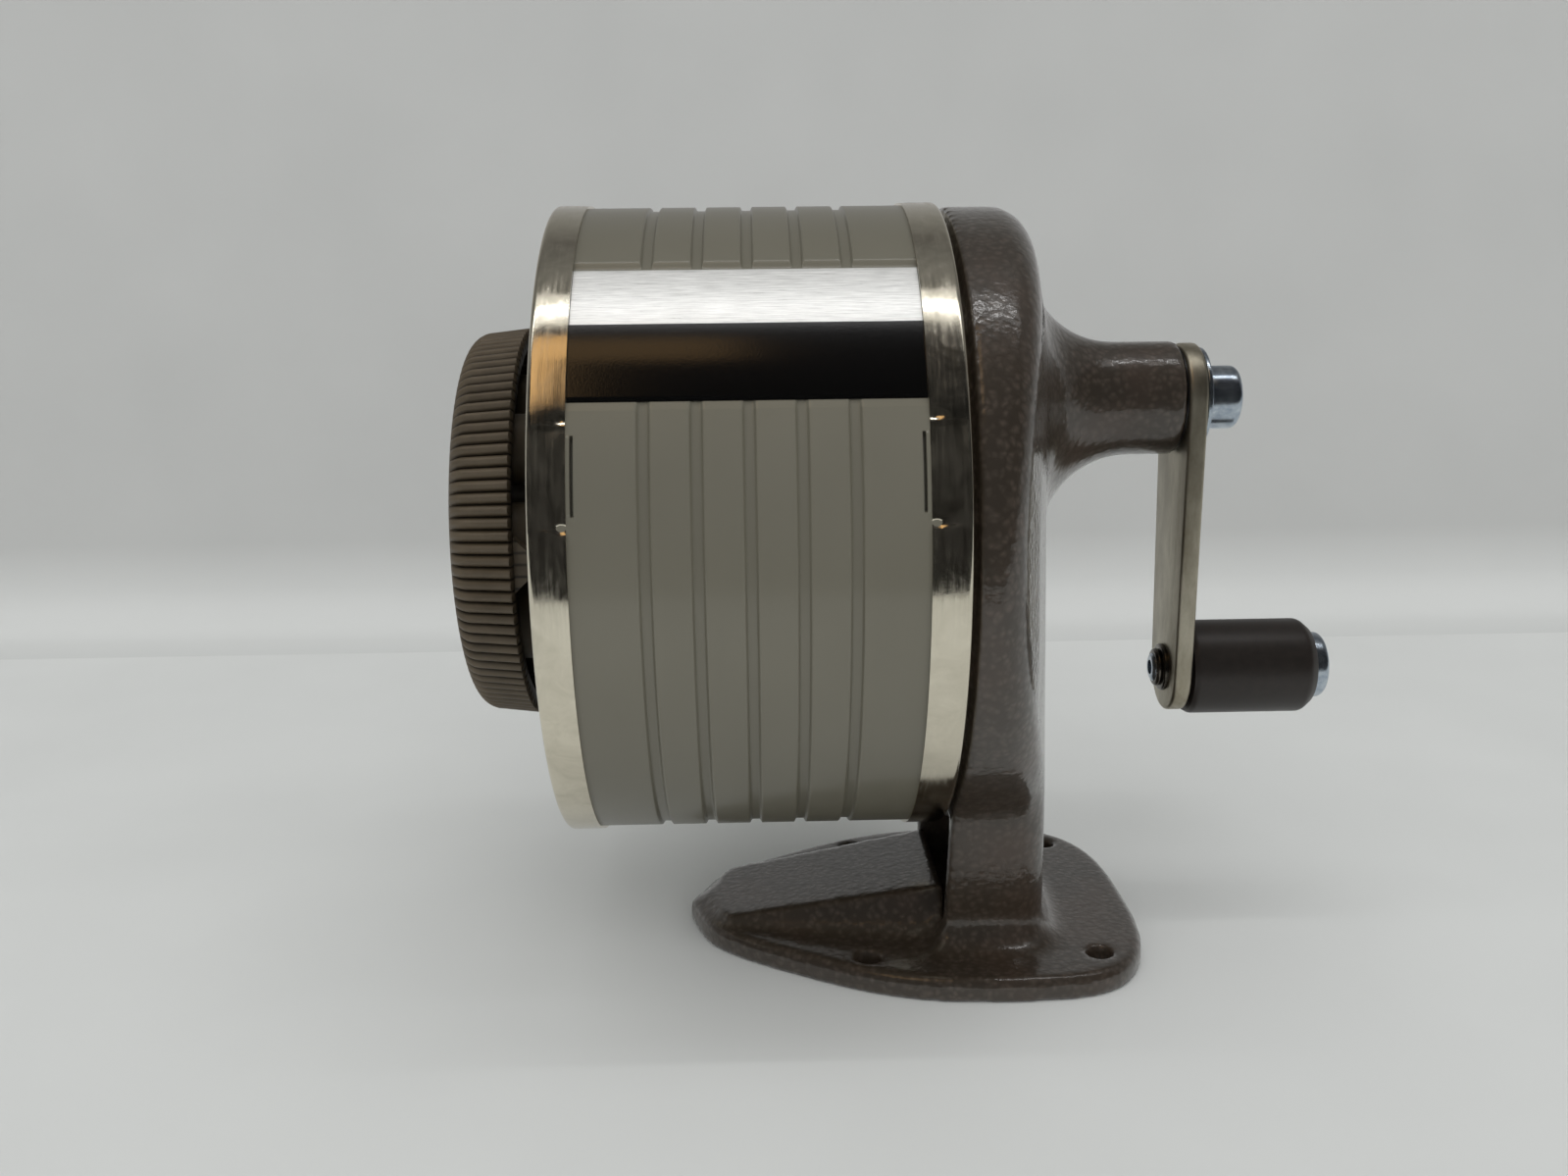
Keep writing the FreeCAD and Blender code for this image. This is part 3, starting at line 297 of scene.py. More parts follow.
def metal(name, dark, light, rough_low, rough_high, cell, streak=(1.0, 1.0, 1.0), dent=0.1):
    """Bare or plated metal with a mottled tone, whose pattern can be drawn out along an axis."""
    material, tree, surface, place = new_material(name, Metallic=1.0)
    drawn = add(tree, "ShaderNodeMapping", {"Vector": place, "Scale": streak}).outputs[0]
    patch = add(tree, "ShaderNodeTexNoise", {"Vector": drawn, "Scale": per_mm(cell), "Detail": 5.0,
                                             "Roughness": 0.65})
    tone = add(tree, "ShaderNodeValToRGB", {"Fac": patch.outputs["Fac"]},
               [(0.34, dark), (0.64, light)])
    tree.links.new(tone.outputs["Color"], surface.inputs["Base Color"])
    rough = add(tree, "ShaderNodeMapRange", {"Value": patch.outputs["Fac"], "To Min": rough_low,
                                             "To Max": rough_high})
    tree.links.new(rough.outputs["Result"], surface.inputs["Roughness"])
    fine = add(tree, "ShaderNodeTexNoise", {"Vector": drawn, "Scale": per_mm(cell / 6),
                                            "Detail": 3.0})
    tooth = add(tree, "ShaderNodeBump", {"Height": fine.outputs["Fac"], "Strength": dent,
                                         "Distance": 0.04 * MM})
    tree.links.new(tooth.outputs["Normal"], surface.inputs["Normal"])
    return material


HAMMERTONE = hammertone_enamel()
DRUM_ENAMEL = drum_enamel()
NICKEL = nickel_plate()
LABEL = label_finish()
DIAL_PLASTIC = ribbed_plastic()
# Very dark brown moulded plastic with a soft sheen.
KNOB_PLASTIC = plastic("dark_brown_plastic", "1d1815", "241e1a", 0.36, 0.46, 1.2)
# Black enamel on sheet steel, satin.
BLACK_ENAMEL = plastic("black_enamel", "0a0909", "121110", 0.24, 0.38, 3.0)
# Flat bar with a dull, stained nickel flash, streaked along its length.
PLATED_BAR = metal("dull_nickel_flat_bar", "8f8775", "c2bcab", 0.30, 0.50, 7.0, (1, 1, 0.4), 0.3)
# Zinc plate with a clear passivation: bright and slightly blue.
ZINC = metal("clear_passivated_zinc", "97a3b0", "c3ccd5", 0.14, 0.30, 1.5, dent=0.2)
# Blackened steel, polished by wear.
WORN_BLACK = metal("blackened_worn_steel", "3a3733", "77726a", 0.16, 0.32, 1.8, dent=0.2)
# Oiled, machined steel.
MACHINED = metal("oiled_machined_steel", "6e6e70", "8c8c8e", 0.22, 0.38, 0.8, (0.2, 1, 1))
# Ground, hardened tool steel.
TOOL_STEEL = metal("ground_tool_steel", "77787b", "a2a3a6", 0.18, 0.32, 0.6)
# A plain zinc die casting, dull and slightly grainy.
DIE_CAST = metal("zinc_die_casting", "68696b", "848587", 0.40, 0.58, 1.5, dent=0.3)
# Sintered bronze, porous and dull.
BRONZE = metal("sintered_bronze", "8a6a3c", "a5824e", 0.36, 0.52, 0.5, dent=0.3)
# Blued spring strip.
SPRING = metal("blued_spring_strip", "3c4250", "5b6270", 0.24, 0.36, 1.0)


# ---------------------------------------------------------------- modelling helpers

def rounded_outline(points, rounds=None, segments=4):
    """A flat closed outline of (x, radius) corners; named corners are rounded, in millimetres."""
    bm = bmesh.new()
    corners = [bm.verts.new((x * MM, 0, r * MM)) for x, r in points]
    bm.faces.new(corners)
    chosen = {}
    for index, radius in (rounds or {}).items():
        chosen.setdefault(radius, []).append(corners[index])
    for radius, verts in chosen.items():
        bmesh.ops.bevel(bm, geom=verts, offset=radius * MM, affect="VERTICES",
                        segments=segments, profile=0.5, material=-1)
    return bm


def turned(points, axis_z, rounds=None, steps=160, segments=4, axis_y=0.0):
    """A solid turned about an axis along X, from a closed outline of (x, radius) corners."""
    bm = rounded_outline(points, rounds, segments)
    bmesh.ops.delete(bm, geom=bm.faces[:], context="FACES_ONLY")
    bmesh.ops.spin(bm, geom=bm.verts[:] + bm.edges[:], cent=(0, 0, 0), axis=(1, 0, 0),
                   angle=TURN, steps=steps, use_merge=True, use_duplicate=False)
    bmesh.ops.translate(bm, verts=bm.verts, vec=(0, axis_y, axis_z))
    return bm


def swept_line(points, sectors):
    """An open line of (x, radius) corners swept about X in sectors of (degrees, steps).

    Angles are counted from the horizontal on the -Y side, upwards.
    """
    bm = bmesh.new()
    line = [bm.verts.new((x * MM, -r * MM, 0)) for x, r in points]
    for first, second in zip(line, line[1:]):
        bm.edges.new((first, second))
    last = bm.verts[:] + bm.edges[:]
    start, *rest = sectors
    bmesh.ops.rotate(bm, verts=line, cent=(0, 0, 0),
                     matrix=Matrix.Rotation(math.radians(-start), 3, "X"))
    for degrees, steps in rest:
        made = bmesh.ops.spin(bm, geom=last, cent=(0, 0, 0), axis=(1, 0, 0),
                              angle=math.radians(-degrees), steps=steps)
        last = made["geom_last"]
    bmesh.ops.remove_doubles(bm, verts=bm.verts, dist=0.001 * MM)
    return bm


def angle_of(vert):
    """Degrees above the horizontal on the -Y side, for a point about the X axis."""
    return math.degrees(math.atan2(vert.co.z, -vert.co.y))


def set_radius(vert, radius):
    scale = radius / math.hypot(vert.co.y, vert.co.z)
    vert.co.y *= scale
    vert.co.z *= scale


def ease(value, low, high):
    """0 below low, 1 above high, smooth between."""
    share = min(max((value - low) / (high - low), 0.0), 1.0)
    return share * share * (3 - 2 * share)


def piece(name, bm, material, body, replaced=(), sharp=35.0):
    """Close a mesh, shade it smooth but for its sharp edges, and give it its material and body."""
    bmesh.ops.remove_doubles(bm, verts=bm.verts, dist=0.002 * MM)
    bmesh.ops.recalc_face_normals(bm, faces=bm.faces)
    for edge in bm.edges:
        edge.smooth = edge.calc_face_angle(0.0) < math.radians(sharp)
    for face in bm.faces:
        face.smooth = True
    mesh = bpy.data.meshes.new(name)
    bm.to_mesh(mesh)
    bm.free()
    mesh.materials.append(material)
    made = bpy.data.objects.new(name, mesh)
    bpy.context.scene.collection.objects.link(made)
    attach(made, body)
    if replaced:
        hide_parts(*replaced)
    return made


# ---------------------------------------------------------------- casting

SKIN_CELL = 0.75


def build_casting():
    """The casting, with every corner softened as the sand and the thick enamel leave it.

    It is lifted half a cell while its skin is remade, so that its flat foot lies between cells.
    """
    bm = bmesh.new()
    bm.from_mesh(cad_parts["stand_casting"].data)
    bmesh.ops.remove_doubles(bm, verts=bm.verts, dist=0.002 * MM)
    bmesh.ops.translate(bm, verts=bm.verts, vec=(0, 0, SKIN_CELL / 2 * MM))
    made = piece("enamelled_casting", bm, HAMMERTONE, "stand",
                 ["stand_casting"], sharp=180)
    remesh = made.modifiers.new("even_skin", "REMESH")
    remesh.mode = "VOXEL"
    remesh.voxel_size = SKIN_CELL * MM
    remesh.use_smooth_shade = True
    smooth = made.modifiers.new("soft_corners", "SMOOTH")
    smooth.factor = 0.5
    smooth.iterations = 5
    lower = made.modifiers.new("back_down", "DISPLACE")
    lower.direction = "Z"
    lower.mid_level = 0.0
    lower.strength = -SKIN_CELL / 2 * MM
    return made


# ---------------------------------------------------------------- shavings drum

SHELL_R = 52.5
HOLE_RING_R = 19.9
PRESS = 0.5
GROOVE_DEPTH = 0.6
GROOVES = [-53.0 + 7.4 * step for step in range(5)]
# Where the label's recess, the label and the two slots start and end, in degrees.
RECESS = (26.5, 54.7)
LABEL_ARC = (27.4, 53.6)
SLOT = (9.9, 21.7)
# The flat of each cap between two small dents, in degrees.
CAP_FLAT = (7.6, 24.3)
FRONT_SKIRT = corner("front_cap", 1).x / MM
REAR_SKIRT = corner("rear_cap", 0).x / MM


def groove_depth(x):
    """How far the shell is pressed in at x, from 0 to 1."""
    nearest = min(abs(x - middle) for middle in GROOVES)
    return 1 - ease(nearest, 0.6, 1.05)


def build_shell():
    """The pressed sheet: lands between five grooves, ending at the lip of the label's recess.

    The sweep is finest where the recess and the slots begin and end.
    """
    start = corner("drum_shell", 0).x / MM
    end = corner("drum_shell", 1).x / MM
    slot_offsets = [0.02, 0.30, 0.60, 0.70, 0.98, 1.08]
    stations = {start, end}
    stations.update(FRONT_SKIRT + offset for offset in slot_offsets)
    stations.update(REAR_SKIRT - offset for offset in slot_offsets)
    for middle in GROOVES:
        for offset in (0.0, 0.35, 0.6, 0.69, 0.78, 0.87, 0.96, 1.05, 1.3, 1.6):
            stations.update((middle - offset, middle + offset))
    line = [(x, SHELL_R) for x in sorted(stations)]
    bm = swept_line(line, [RECESS[1] + 2.1, (312.7, 150), (12.7, 60), (3.8, 22), (26.5, 13),
                           (4.3, 26)])
    for vert in bm.verts:
        x = vert.co.x / MM
        angle = angle_of(vert)
        recess = ease(angle, RECESS[0] - 0.5, RECESS[0] + 0.5)
        recess *= 1 - ease(angle, RECESS[1] - 0.6, RECESS[1] + 1.1)
        pressed = max(GROOVE_DEPTH * groove_depth(x), PRESS * recess)
        edge = min(x - FRONT_SKIRT, REAR_SKIRT - x)
        in_slot = ease(angle, SLOT[0] - 0.3, SLOT[0]) * (1 - ease(angle, SLOT[1], SLOT[1] + 0.3))
        if 0.65 < edge < 1.03:
            pressed += 1.4 * in_slot
        elif 0.25 < edge < 0.65:
            pressed -= 0.3 * in_slot
        set_radius(vert, (SHELL_R - pressed) * MM)
    bmesh.ops.translate(bm, verts=bm.verts, vec=(0, 0, drum_z))
    made = piece("painted_drum_shell", bm, DRUM_ENAMEL, "receptacle",
                 ["drum_shell"], sharp=50)
    sheet = made.modifiers.new("sheet", "SOLIDIFY")
    sheet.thickness = 0.5 * MM
    sheet.offset = -1
    return made


def build_label():
    """The curved plate in the recess, its long edges turned down a little."""
    inner = SHELL_R - PRESS + 0.02
    outer = inner + 0.35
    start = FRONT_SKIRT + 0.05
    end = REAR_SKIRT - 0.05
    line = [(start, inner), (start, outer), (end, outer), (end, inner), (start, inner)]
    bm = swept_line(line, [LABEL_ARC[0], (0.3, 2), (25.6, 40), (0.3, 2)])
    for vert in bm.verts:
        angle = angle_of(vert)
        lip = max(ease(-angle, -LABEL_ARC[0] - 0.3, -LABEL_ARC[0]),
                  ease(angle, LABEL_ARC[1] - 0.3, LABEL_ARC[1]))
        reach = math.hypot(vert.co.y, vert.co.z) / MM
        if reach > outer - 0.05:
            set_radius(vert, (outer - 0.12 * lip) * MM)
    bmesh.ops.holes_fill(bm, edges=[edge for edge in bm.edges if edge.is_boundary])
    bmesh.ops.translate(bm, verts=bm.verts, vec=(0, 0, drum_z))
    return piece("two_tone_label_plate", bm, LABEL, "receptacle",
                 ["label_plate"])


def build_cap(name, node, skirt, face, opening):
    """A rolled ring: a flat rim, a small round corner and a skirt crimped onto the shell."""
    way = 1 if skirt > face else -1
    radius = 53.0
    sheet = 0.45
    roll = 0.8
    dent_depth = 0.42
    reach = abs(skirt - face)
    line = [(face + way * sheet, opening), (face, opening)]
    for step in range(7):
        turn = math.radians(15 * step)
        line.append((face + way * roll * (1 - math.cos(turn)),
                     radius - roll * (1 - math.sin(turn))))
    for share in (0.3, 0.45, 0.58, 0.7, 0.78, 0.86, 0.94, 1.0):
        line.append((face + way * reach * share, radius))
    line += [(skirt, radius - sheet), (face + way * roll, radius - sheet),
             (face + way * sheet, radius - roll)]
    line.append(line[0])
    bm = swept_line(line, [29.0, (333.0, 200), (27.0, 162)])
    for vert in bm.verts:
        angle = angle_of(vert)
        if math.hypot(vert.co.y, vert.co.z) / MM < radius - 2:
            continue
        along = abs(vert.co.x / MM - face) / reach
        flat = ease(angle, CAP_FLAT[0] - 0.6, CAP_FLAT[0] + 0.6)
        flat *= 1 - ease(angle, CAP_FLAT[1] - 1.6, CAP_FLAT[1] - 0.7)
        pressed = 0.05 + 0.30 * flat * ease(along, 0.0, 0.4)
        for dent in CAP_FLAT:
            far = math.hypot((angle - dent) / 0.75, (along - 0.88) * reach / 0.9)
            pressed += dent_depth * math.exp(-far * far)
        pressed += 0.05 * math.sin(math.radians(angle * 5)) * ease(along, 0.6, 1.0)
        set_radius(vert, math.hypot(vert.co.y, vert.co.z) - pressed * MM)
    bmesh.ops.translate(bm, verts=bm.verts, vec=(0, 0, drum_z))
    return piece(name, bm, NICKEL, "receptacle", [node], sharp=40)


def reach_of(edge):
    """How far an edge lies from the drum's axis, in millimetres."""
    place = edge.verts[0].co
    return math.hypot(place.y, place.z - drum_z) / MM


def build_front_plate():
    """The flat black end plate, with the pencil's way and a hole for the stud."""
    front = corner("front_plate", 0).x / MM
    back = corner("front_plate", 1).x / MM
    circles = ((51.2, 0.0, 160), (6.6, HOLE_RING_R, 48), (3.0, 0.0, 32))
    bm = bmesh.new()
    for x in (front, back):
        for radius, up, steps in circles:
            made = bmesh.ops.create_circle(bm, segments=steps, radius=radius * MM)
            turn = Matrix.Rotation(math.radians(90), 4, "Y")
            bmesh.ops.transform(bm, verts=made["verts"], matrix=turn)
            bmesh.ops.translate(bm, verts=made["verts"], vec=(x * MM, 0, up * MM + drum_z))
    for x in (front, back):
        flat = [edge for edge in bm.edges
                if all(abs(vert.co.x - x * MM) < 0.01 * MM for vert in edge.verts)]
        bmesh.ops.triangle_fill(bm, use_beauty=True, edges=flat)
    loops = [edge for edge in bm.edges if edge.is_boundary]
    rim = [edge for edge in loops if reach_of(edge) > 40]
    pencil_way = [edge for edge in loops if 10 < reach_of(edge) < 40]
    stud_hole = [edge for edge in loops if reach_of(edge) < 10]
    for walls in (rim, pencil_way, stud_hole):
        bmesh.ops.bridge_loops(bm, edges=walls)
    return piece("black_end_plate", bm, BLACK_ENAMEL, "receptacle",
                 ["front_plate"])


# ---------------------------------------------------------------- size dial

DIAL_R = 33.1
PENCIL_HOLES = [4.0, 4.4, 4.8, 5.2, 5.6, 3.0, 3.3, 3.6]


def add_turned_line(bm, points, steps, axis_y=0.0, axis_z=0.0):
    """Turn an open line of (x, radius) corners about an axis along X, inside a mesh."""
    line = [bm.verts.new((x * MM, axis_y, axis_z + r * MM)) for x, r in points]
    edges = [bm.edges.new(pair) for pair in zip(line, line[1:])]
    bmesh.ops.spin(bm, geom=line + edges, cent=(0, axis_y, axis_z), axis=(1, 0, 0),
                   angle=TURN, steps=steps, use_merge=True)


def dial_line(front, rim):
    """Half the section of the dial's cup: inside the rim, round it and over the shoulder."""
    wall = front + 3.0
    shoulder = 3.4
    inner = DIAL_R - 3.0
    edge = DIAL_R - 0.7
    line = [(wall, inner - 0.6), (wall + 0.6, inner), (rim - 0.3, inner), (rim, inner + 0.3),
            (rim, DIAL_R - 0.7), (rim - 0.35, DIAL_R), (front + shoulder, edge)]
    for step in range(1, 9):
        turn = math.radians(11.25 * step)
        line.append((front + shoulder * (1 - math.sin(turn)),
                     edge - shoulder * (1 - math.cos(turn))))
    line.append((front, edge - shoulder - 1.2))
    return line


def add_lug(bm, front, rim):
    """A pointed lug that stands inside the rim on the near side."""
    root = front + 6.6
    tip = front + 14.3
    half = 4.3
    drop = 2.0
    outline = [(root, half), (rim, half), (tip, 0.0), (rim, -half), (root, -half)]
    face = bm.faces.new([bm.verts.new((x * MM, -30.6 * MM, (up - drop) * MM))
                         for x, up in outline])
    made = bmesh.ops.extrude_face_region(bm, geom=[face])
    moved = [item for item in made["geom"] if isinstance(item, bmesh.types.BMVert)]
    bmesh.ops.translate(bm, verts=moved, vec=(0, 2.4 * MM, 0))


def build_dial():
    """The moulded dial: a ribbed rim, eight collars round a hub, and a pointed lug inside."""
    front = corner("selector_dial", 0).x / MM
    rim = front + 9.9
    hub_end = front + 12.4
    wall = front + 3.0
    bm = bmesh.new()
    add_turned_line(bm, dial_line(front, rim), RIBS * 8)
    for vert in bm.verts:
        reach = math.hypot(vert.co.y, vert.co.z) / MM
        if reach < DIAL_R - 3.8 or (vert.co.x / MM > rim - 0.1 and reach < DIAL_R - 1.5):
            continue
        valley = 1 - abs(math.sin(RIBS / 2 * math.atan2(vert.co.z, vert.co.y))) ** 0.8
        set_radius(vert, (reach - 1.0 * valley * ease(reach, DIAL_R - 3.8, DIAL_R - 1.9)) * MM)
    hub = [(front, 7.0), (front + 0.4, 6.6), (front + 2.4, 6.4), (front + 2.4, 3.05),
           (hub_end, 3.05), (hub_end, 6.1), (hub_end - 0.4, 6.5), (wall, 8.5)]
    add_turned_line(bm, hub, 96)
    for step, radius in enumerate(PENCIL_HOLES):
        turn = TURN * step / len(PENCIL_HOLES)
        outer = radius + 1.4
        collar = [(front, radius + 0.7), (front + 0.25, radius + 0.2), (front + 0.7, radius),
                  (hub_end, radius), (hub_end, outer - 0.2), (hub_end - 0.2, outer), (wall, outer)]
        add_turned_line(bm, collar, 48, -HOLE_RING_R * math.sin(turn) * MM,
                        HOLE_RING_R * math.cos(turn) * MM)
    bmesh.ops.remove_doubles(bm, verts=bm.verts, dist=0.001 * MM)
    for x in (front, wall):
        flat = [edge for edge in bm.edges if edge.is_boundary
                and all(abs(vert.co.x - x * MM) < 0.01 * MM for vert in edge.verts)]
        bmesh.ops.triangle_fill(bm, use_beauty=True, edges=flat)
    add_lug(bm, front, rim)
    bmesh.ops.translate(bm, verts=bm.verts, vec=(0, 0, drum_z))
    return piece("ribbed_size_dial", bm, DIAL_PLASTIC, "dial",
                 ["selector_dial"], sharp=50)


# ---------------------------------------------------------------- crank and handle

ARM_TOP_R = 9.35
ARM_LOW_R = 7.65
ARM_WAIST = 8.45


def half_round(radius, axis_z, start):
    """Points of (y, z) along half a circle about an axis, in millimetres."""
    turns = [math.radians(turn) for turn in range(start, start + 181, 6)]
    return [(radius * math.cos(turn), radius * math.sin(turn) + axis_z / MM) for turn in turns]


def build_arm():
    """A flat bar with round ends, its edges broken by the press tool."""
    near = corner("crank_arm", 0).x
    far = corner("crank_arm", 1).x
    middle_z = (crank_z + handle_z) / 2 / MM
    bm = bmesh.new()
    outline = half_round(ARM_TOP_R, crank_z, 0) + [(-ARM_WAIST, middle_z)]
    outline += half_round(ARM_LOW_R, handle_z, 180) + [(ARM_WAIST, middle_z)]
    face = bm.faces.new([bm.verts.new((near, y * MM, z * MM)) for y, z in outline])
    made = bmesh.ops.extrude_face_region(bm, geom=[face])
    moved = [item for item in made["geom"] if isinstance(item, bmesh.types.BMVert)]
    bmesh.ops.translate(bm, verts=moved, vec=(far - near, 0, 0))
    rims = [edge for edge in bm.edges if abs(edge.verts[0].co.x - edge.verts[1].co.x) < 0.01 * MM]
    bmesh.ops.bevel(bm, geom=rims, offset=0.6 * MM, affect="EDGES", segments=3, profile=0.5,
                    material=-1)
    return piece("plated_crank_arm", bm, PLATED_BAR, "cutter_head", ["crank_arm"],
                 sharp=45)


def ends(node):
    """Where a node starts and ends along X, in millimetres."""
    return corner(node, 0).x / MM, corner(node, 1).x / MM


def build_bolt():
    """The bolt that holds the arm: a round head with six faint flats and a domed end."""
    start, end = ends("crank_bolt")
    seat = ends("crank_washer")[1]
    radius = 5.42
    head = turned([(start, 0), (start, 2.5), (seat, 2.5), (seat, 5.25), (seat + 0.3, radius),
                   (end, radius), (end, 0)], crank_z, {5: 1.3}, steps=96, segments=6)
    for vert in head.verts:
        reach = math.hypot(vert.co.y, vert.co.z - crank_z) / MM
        if reach < 4.5:
            continue
        turn = math.atan2(vert.co.z - crank_z, vert.co.y)
        fade = 1 - ease(vert.co.x / MM, end - 3, end - 1)
        share = 1 - 0.12 * (1 - abs(math.sin(3 * turn))) * fade / reach
        vert.co.y *= share
        vert.co.z = crank_z + (vert.co.z - crank_z) * share
    piece("zinc_crank_bolt", head, ZINC, "cutter_head", ["crank_bolt"])


def build_washers():
    """The plated washer under the bolt, and the black one between the neck and the arm."""
    low, high = ends("crank_washer")
    plated = turned([(low, 2.5), (low, 8.6), (high, 8.6), (high, 2.5)], crank_z,
                    {1: 0.25, 2: 0.25}, segments=3)
    piece("zinc_crank_washer", plated, ZINC, "cutter_head", ["crank_washer"])
    low, high = ends("thrust_washer")
    black = turned([(low, 5.05), (low, 8.6), (high, 8.6), (high, 5.05)], crank_z)
    piece("black_thrust_washer", black, BLACK_ENAMEL, "cutter_head",
          ["thrust_washer"])


def build_handle():
    """The knob, the screw it turns on with its disc at the knob's end, and the nut."""
    low, high = ends("handle_knob")
    knob = turned([(low, 2.55), (low, 7.9), (low + 0.8, 8.35), (high - 1.7, 8.35),
                   (high, 6.9), (high, 2.55)], handle_z, {2: 0.3, 3: 0.6, 4: 0.3}, steps=128)
    piece("moulded_handle_knob", knob, KNOB_PLASTIC, "handle",
          ["handle_knob"])
    tip, end = ends("handle_screw")
    disc = high + 0.1
    screw = turned([(tip, 1.3), (tip, 2.1), (tip + 0.4, 2.5), (disc, 2.5), (disc, 5.85),
                    (end, 5.85), (end, 0), (tip + 0.9, 0), (tip + 0.9, 1.3)], handle_z,
                   {5: 1.1, 1: 0.4}, steps=96, segments=5)
    piece("disc_head_handle_screw", screw, ZINC, "cutter_head", ["handle_screw"])
    near = ends("handle_nut")[0]
    arm = ends("crank_arm")[0]
    nut = turned([(near, 2.5), (near, 3.1), (near + 0.55, 3.5), (near + 0.95, 3.2),
                  (near + 1.1, 4.2), (arm, 4.2), (arm, 2.5)], handle_z,
                 {1: 0.3, 2: 0.25, 4: 0.3}, steps=72)
    piece("collar_handle_nut", nut, WORN_BLACK, "cutter_head", ["handle_nut"])


build_casting()
build_shell()
build_label()
build_cap("crimped_front_cap", "front_cap", FRONT_SKIRT, corner("front_cap", 0).x / MM, 44.0)
build_cap("crimped_rear_cap", "rear_cap", REAR_SKIRT, corner("rear_cap", 1).x / MM, 49.9)
build_front_plate()
build_dial()
build_arm()
build_bolt()
build_washers()
build_handle()

CAD_FINISHES = {
    "front_bush": BRONZE, "rear_bush": BRONZE, "ring_gear": MACHINED, "gear_screws": ZINC,
    "pencil_guide": BLACK_ENAMEL, "dial_stud": ZINC, "dial_washer": MACHINED,
    "detent_spring": SPRING, "cutter_frame": DIE_CAST, "crank_shaft": MACHINED,
    "cutter_axles": MACHINED, "cutter_a": TOOL_STEEL, "cutter_b": TOOL_STEEL,
}
for node, finish in CAD_FINISHES.items():
    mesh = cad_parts[node].data
    mesh.materials.clear()
    mesh.materials.append(finish)


# ---------------------------------------------------------------- floor, light and camera

def stage_material(name, low, high):
    """Plain matt paper, with a barely seen tooth."""
    material, tree, surface, place = new_material(name, Roughness=0.9)
    tooth = add(tree, "ShaderNodeTexNoise", {"Vector": place, "Scale": per_mm(60), "Detail": 2.0})
    tone = add(tree, "ShaderNodeValToRGB", {"Fac": tooth.outputs["Fac"]}, [(0.3, low), (0.7, high)])
    tree.links.new(tone.outputs["Color"], surface.inputs["Base Color"])
    return material, tree, surface


def stage_sheet(name, bm, material):
    """An object of the studio, which is no part of the sharpener."""
    mesh = bpy.data.meshes.new(name)
    bm.to_mesh(mesh)
    bm.free()
    for face in mesh.polygons:
        face.use_smooth = True
    mesh.materials.append(material)
    made = bpy.data.objects.new(name, mesh)
    bpy.context.scene.collection.objects.link(made)
    return made


def strip(line, low_x, high_x):
    """A sheet along X over a line of (y, z) points in metres."""
    bm = bmesh.new()
    points = [bm.verts.new((low_x, y, z)) for y, z in line]
    edges = [bm.edges.new(pair) for pair in zip(points, points[1:])]
    made = bmesh.ops.extrude_edge_only(bm, edges=edges)
    moved = [item for item in made["geom"] if isinstance(item, bmesh.types.BMVert)]
    bmesh.ops.translate(bm, verts=moved, vec=(high_x - low_x, 0, 0))
    bmesh.ops.recalc_face_normals(bm, faces=bm.faces)
    return bm


def build_stage():
    """A floor, and a wall behind the object that only its front face shows."""
    paper, tree, surface = stage_material("pale_table", "d6d8d7", "dadcdb")
    bm = bmesh.new()
    bmesh.ops.create_grid(bm, x_segments=1, y_segments=1, size=6.0)
    stage_sheet("table", bm, paper)

    wall_y = 0.235
    foot = [(wall_y - 0.030, 0.0002), (wall_y - 0.016, 0.0015), (wall_y - 0.006, 0.006),
            (wall_y - 0.0015, 0.016), (wall_y, 0.030), (wall_y, 3.0)]
    card, tree, surface = stage_material("pale_backdrop", "b0b1b0", "b4b5b4")
    height = add(tree, "ShaderNodeSeparateXYZ",
                 {"Vector": add(tree, "ShaderNodeTexCoord").outputs["Object"]})
    low = add(tree, "ShaderNodeMapRange", {"Value": height.outputs["Z"], "From Max": 0.032})
    fading = add(tree, "ShaderNodeMix", {
        "Factor": low.outputs["Result"], "A": colour("cccecd"),
        "B": surface.inputs["Base Color"].links[0].from_socket}, data_type="RGBA")
    tree.links.new(fading.outputs["Result"], surface.inputs["Base Color"])
    clear = add(tree, "ShaderNodeBsdfTransparent")
    geometry = add(tree, "ShaderNodeNewGeometry")
    mix = add(tree, "ShaderNodeMixShader", {
        0: geometry.outputs["Backfacing"], 1: surface.outputs[0], 2: clear.outputs[0]})
    output = next(node for node in tree.nodes if node.type == "OUTPUT_MATERIAL")
    tree.links.new(mix.outputs[0], output.inputs["Surface"])
    bm = strip(foot, -4.0, 4.0)
    if bm.faces[:][0].normal.y > 0:
        bmesh.ops.reverse_faces(bm, faces=bm.faces)
    wall = stage_sheet("backdrop", bm, card)
    wall.visible_glossy = False


def build_cards():
    """A dark card before the object and an amber one above left, seen only in shiny surfaces."""
    dark, tree, surface, place = new_material("dark_card", Roughness=1.0)
    surface.inputs["Base Color"].default_value = colour("15120f")
    amber, tree, surface, place = new_material("amber_card", Roughness=1.0, Emission_Strength=1.1)
    surface.inputs["Base Color"].default_value = colour("000000")
    surface.inputs["Emission Color"].default_value = colour("e2b780")
    for name, line, low_x, high_x, material in (
            ("dark_card", [(-0.27, 0.001), (-0.27, 0.29)], -1.5, 1.5, dark),
            ("amber_card", [(-0.69, 0.86), (-0.45, 1.02)], -0.60, -0.19, amber),
            ("upper_amber_card", [(-0.45, 1.02), (-0.30, 1.08)], -0.60, -0.05, amber)):
        card = stage_sheet(name, strip(line, low_x, high_x), material)
        card.visible_camera = False
        card.visible_diffuse = False
        card.visible_shadow = False
        card.visible_transmission = False


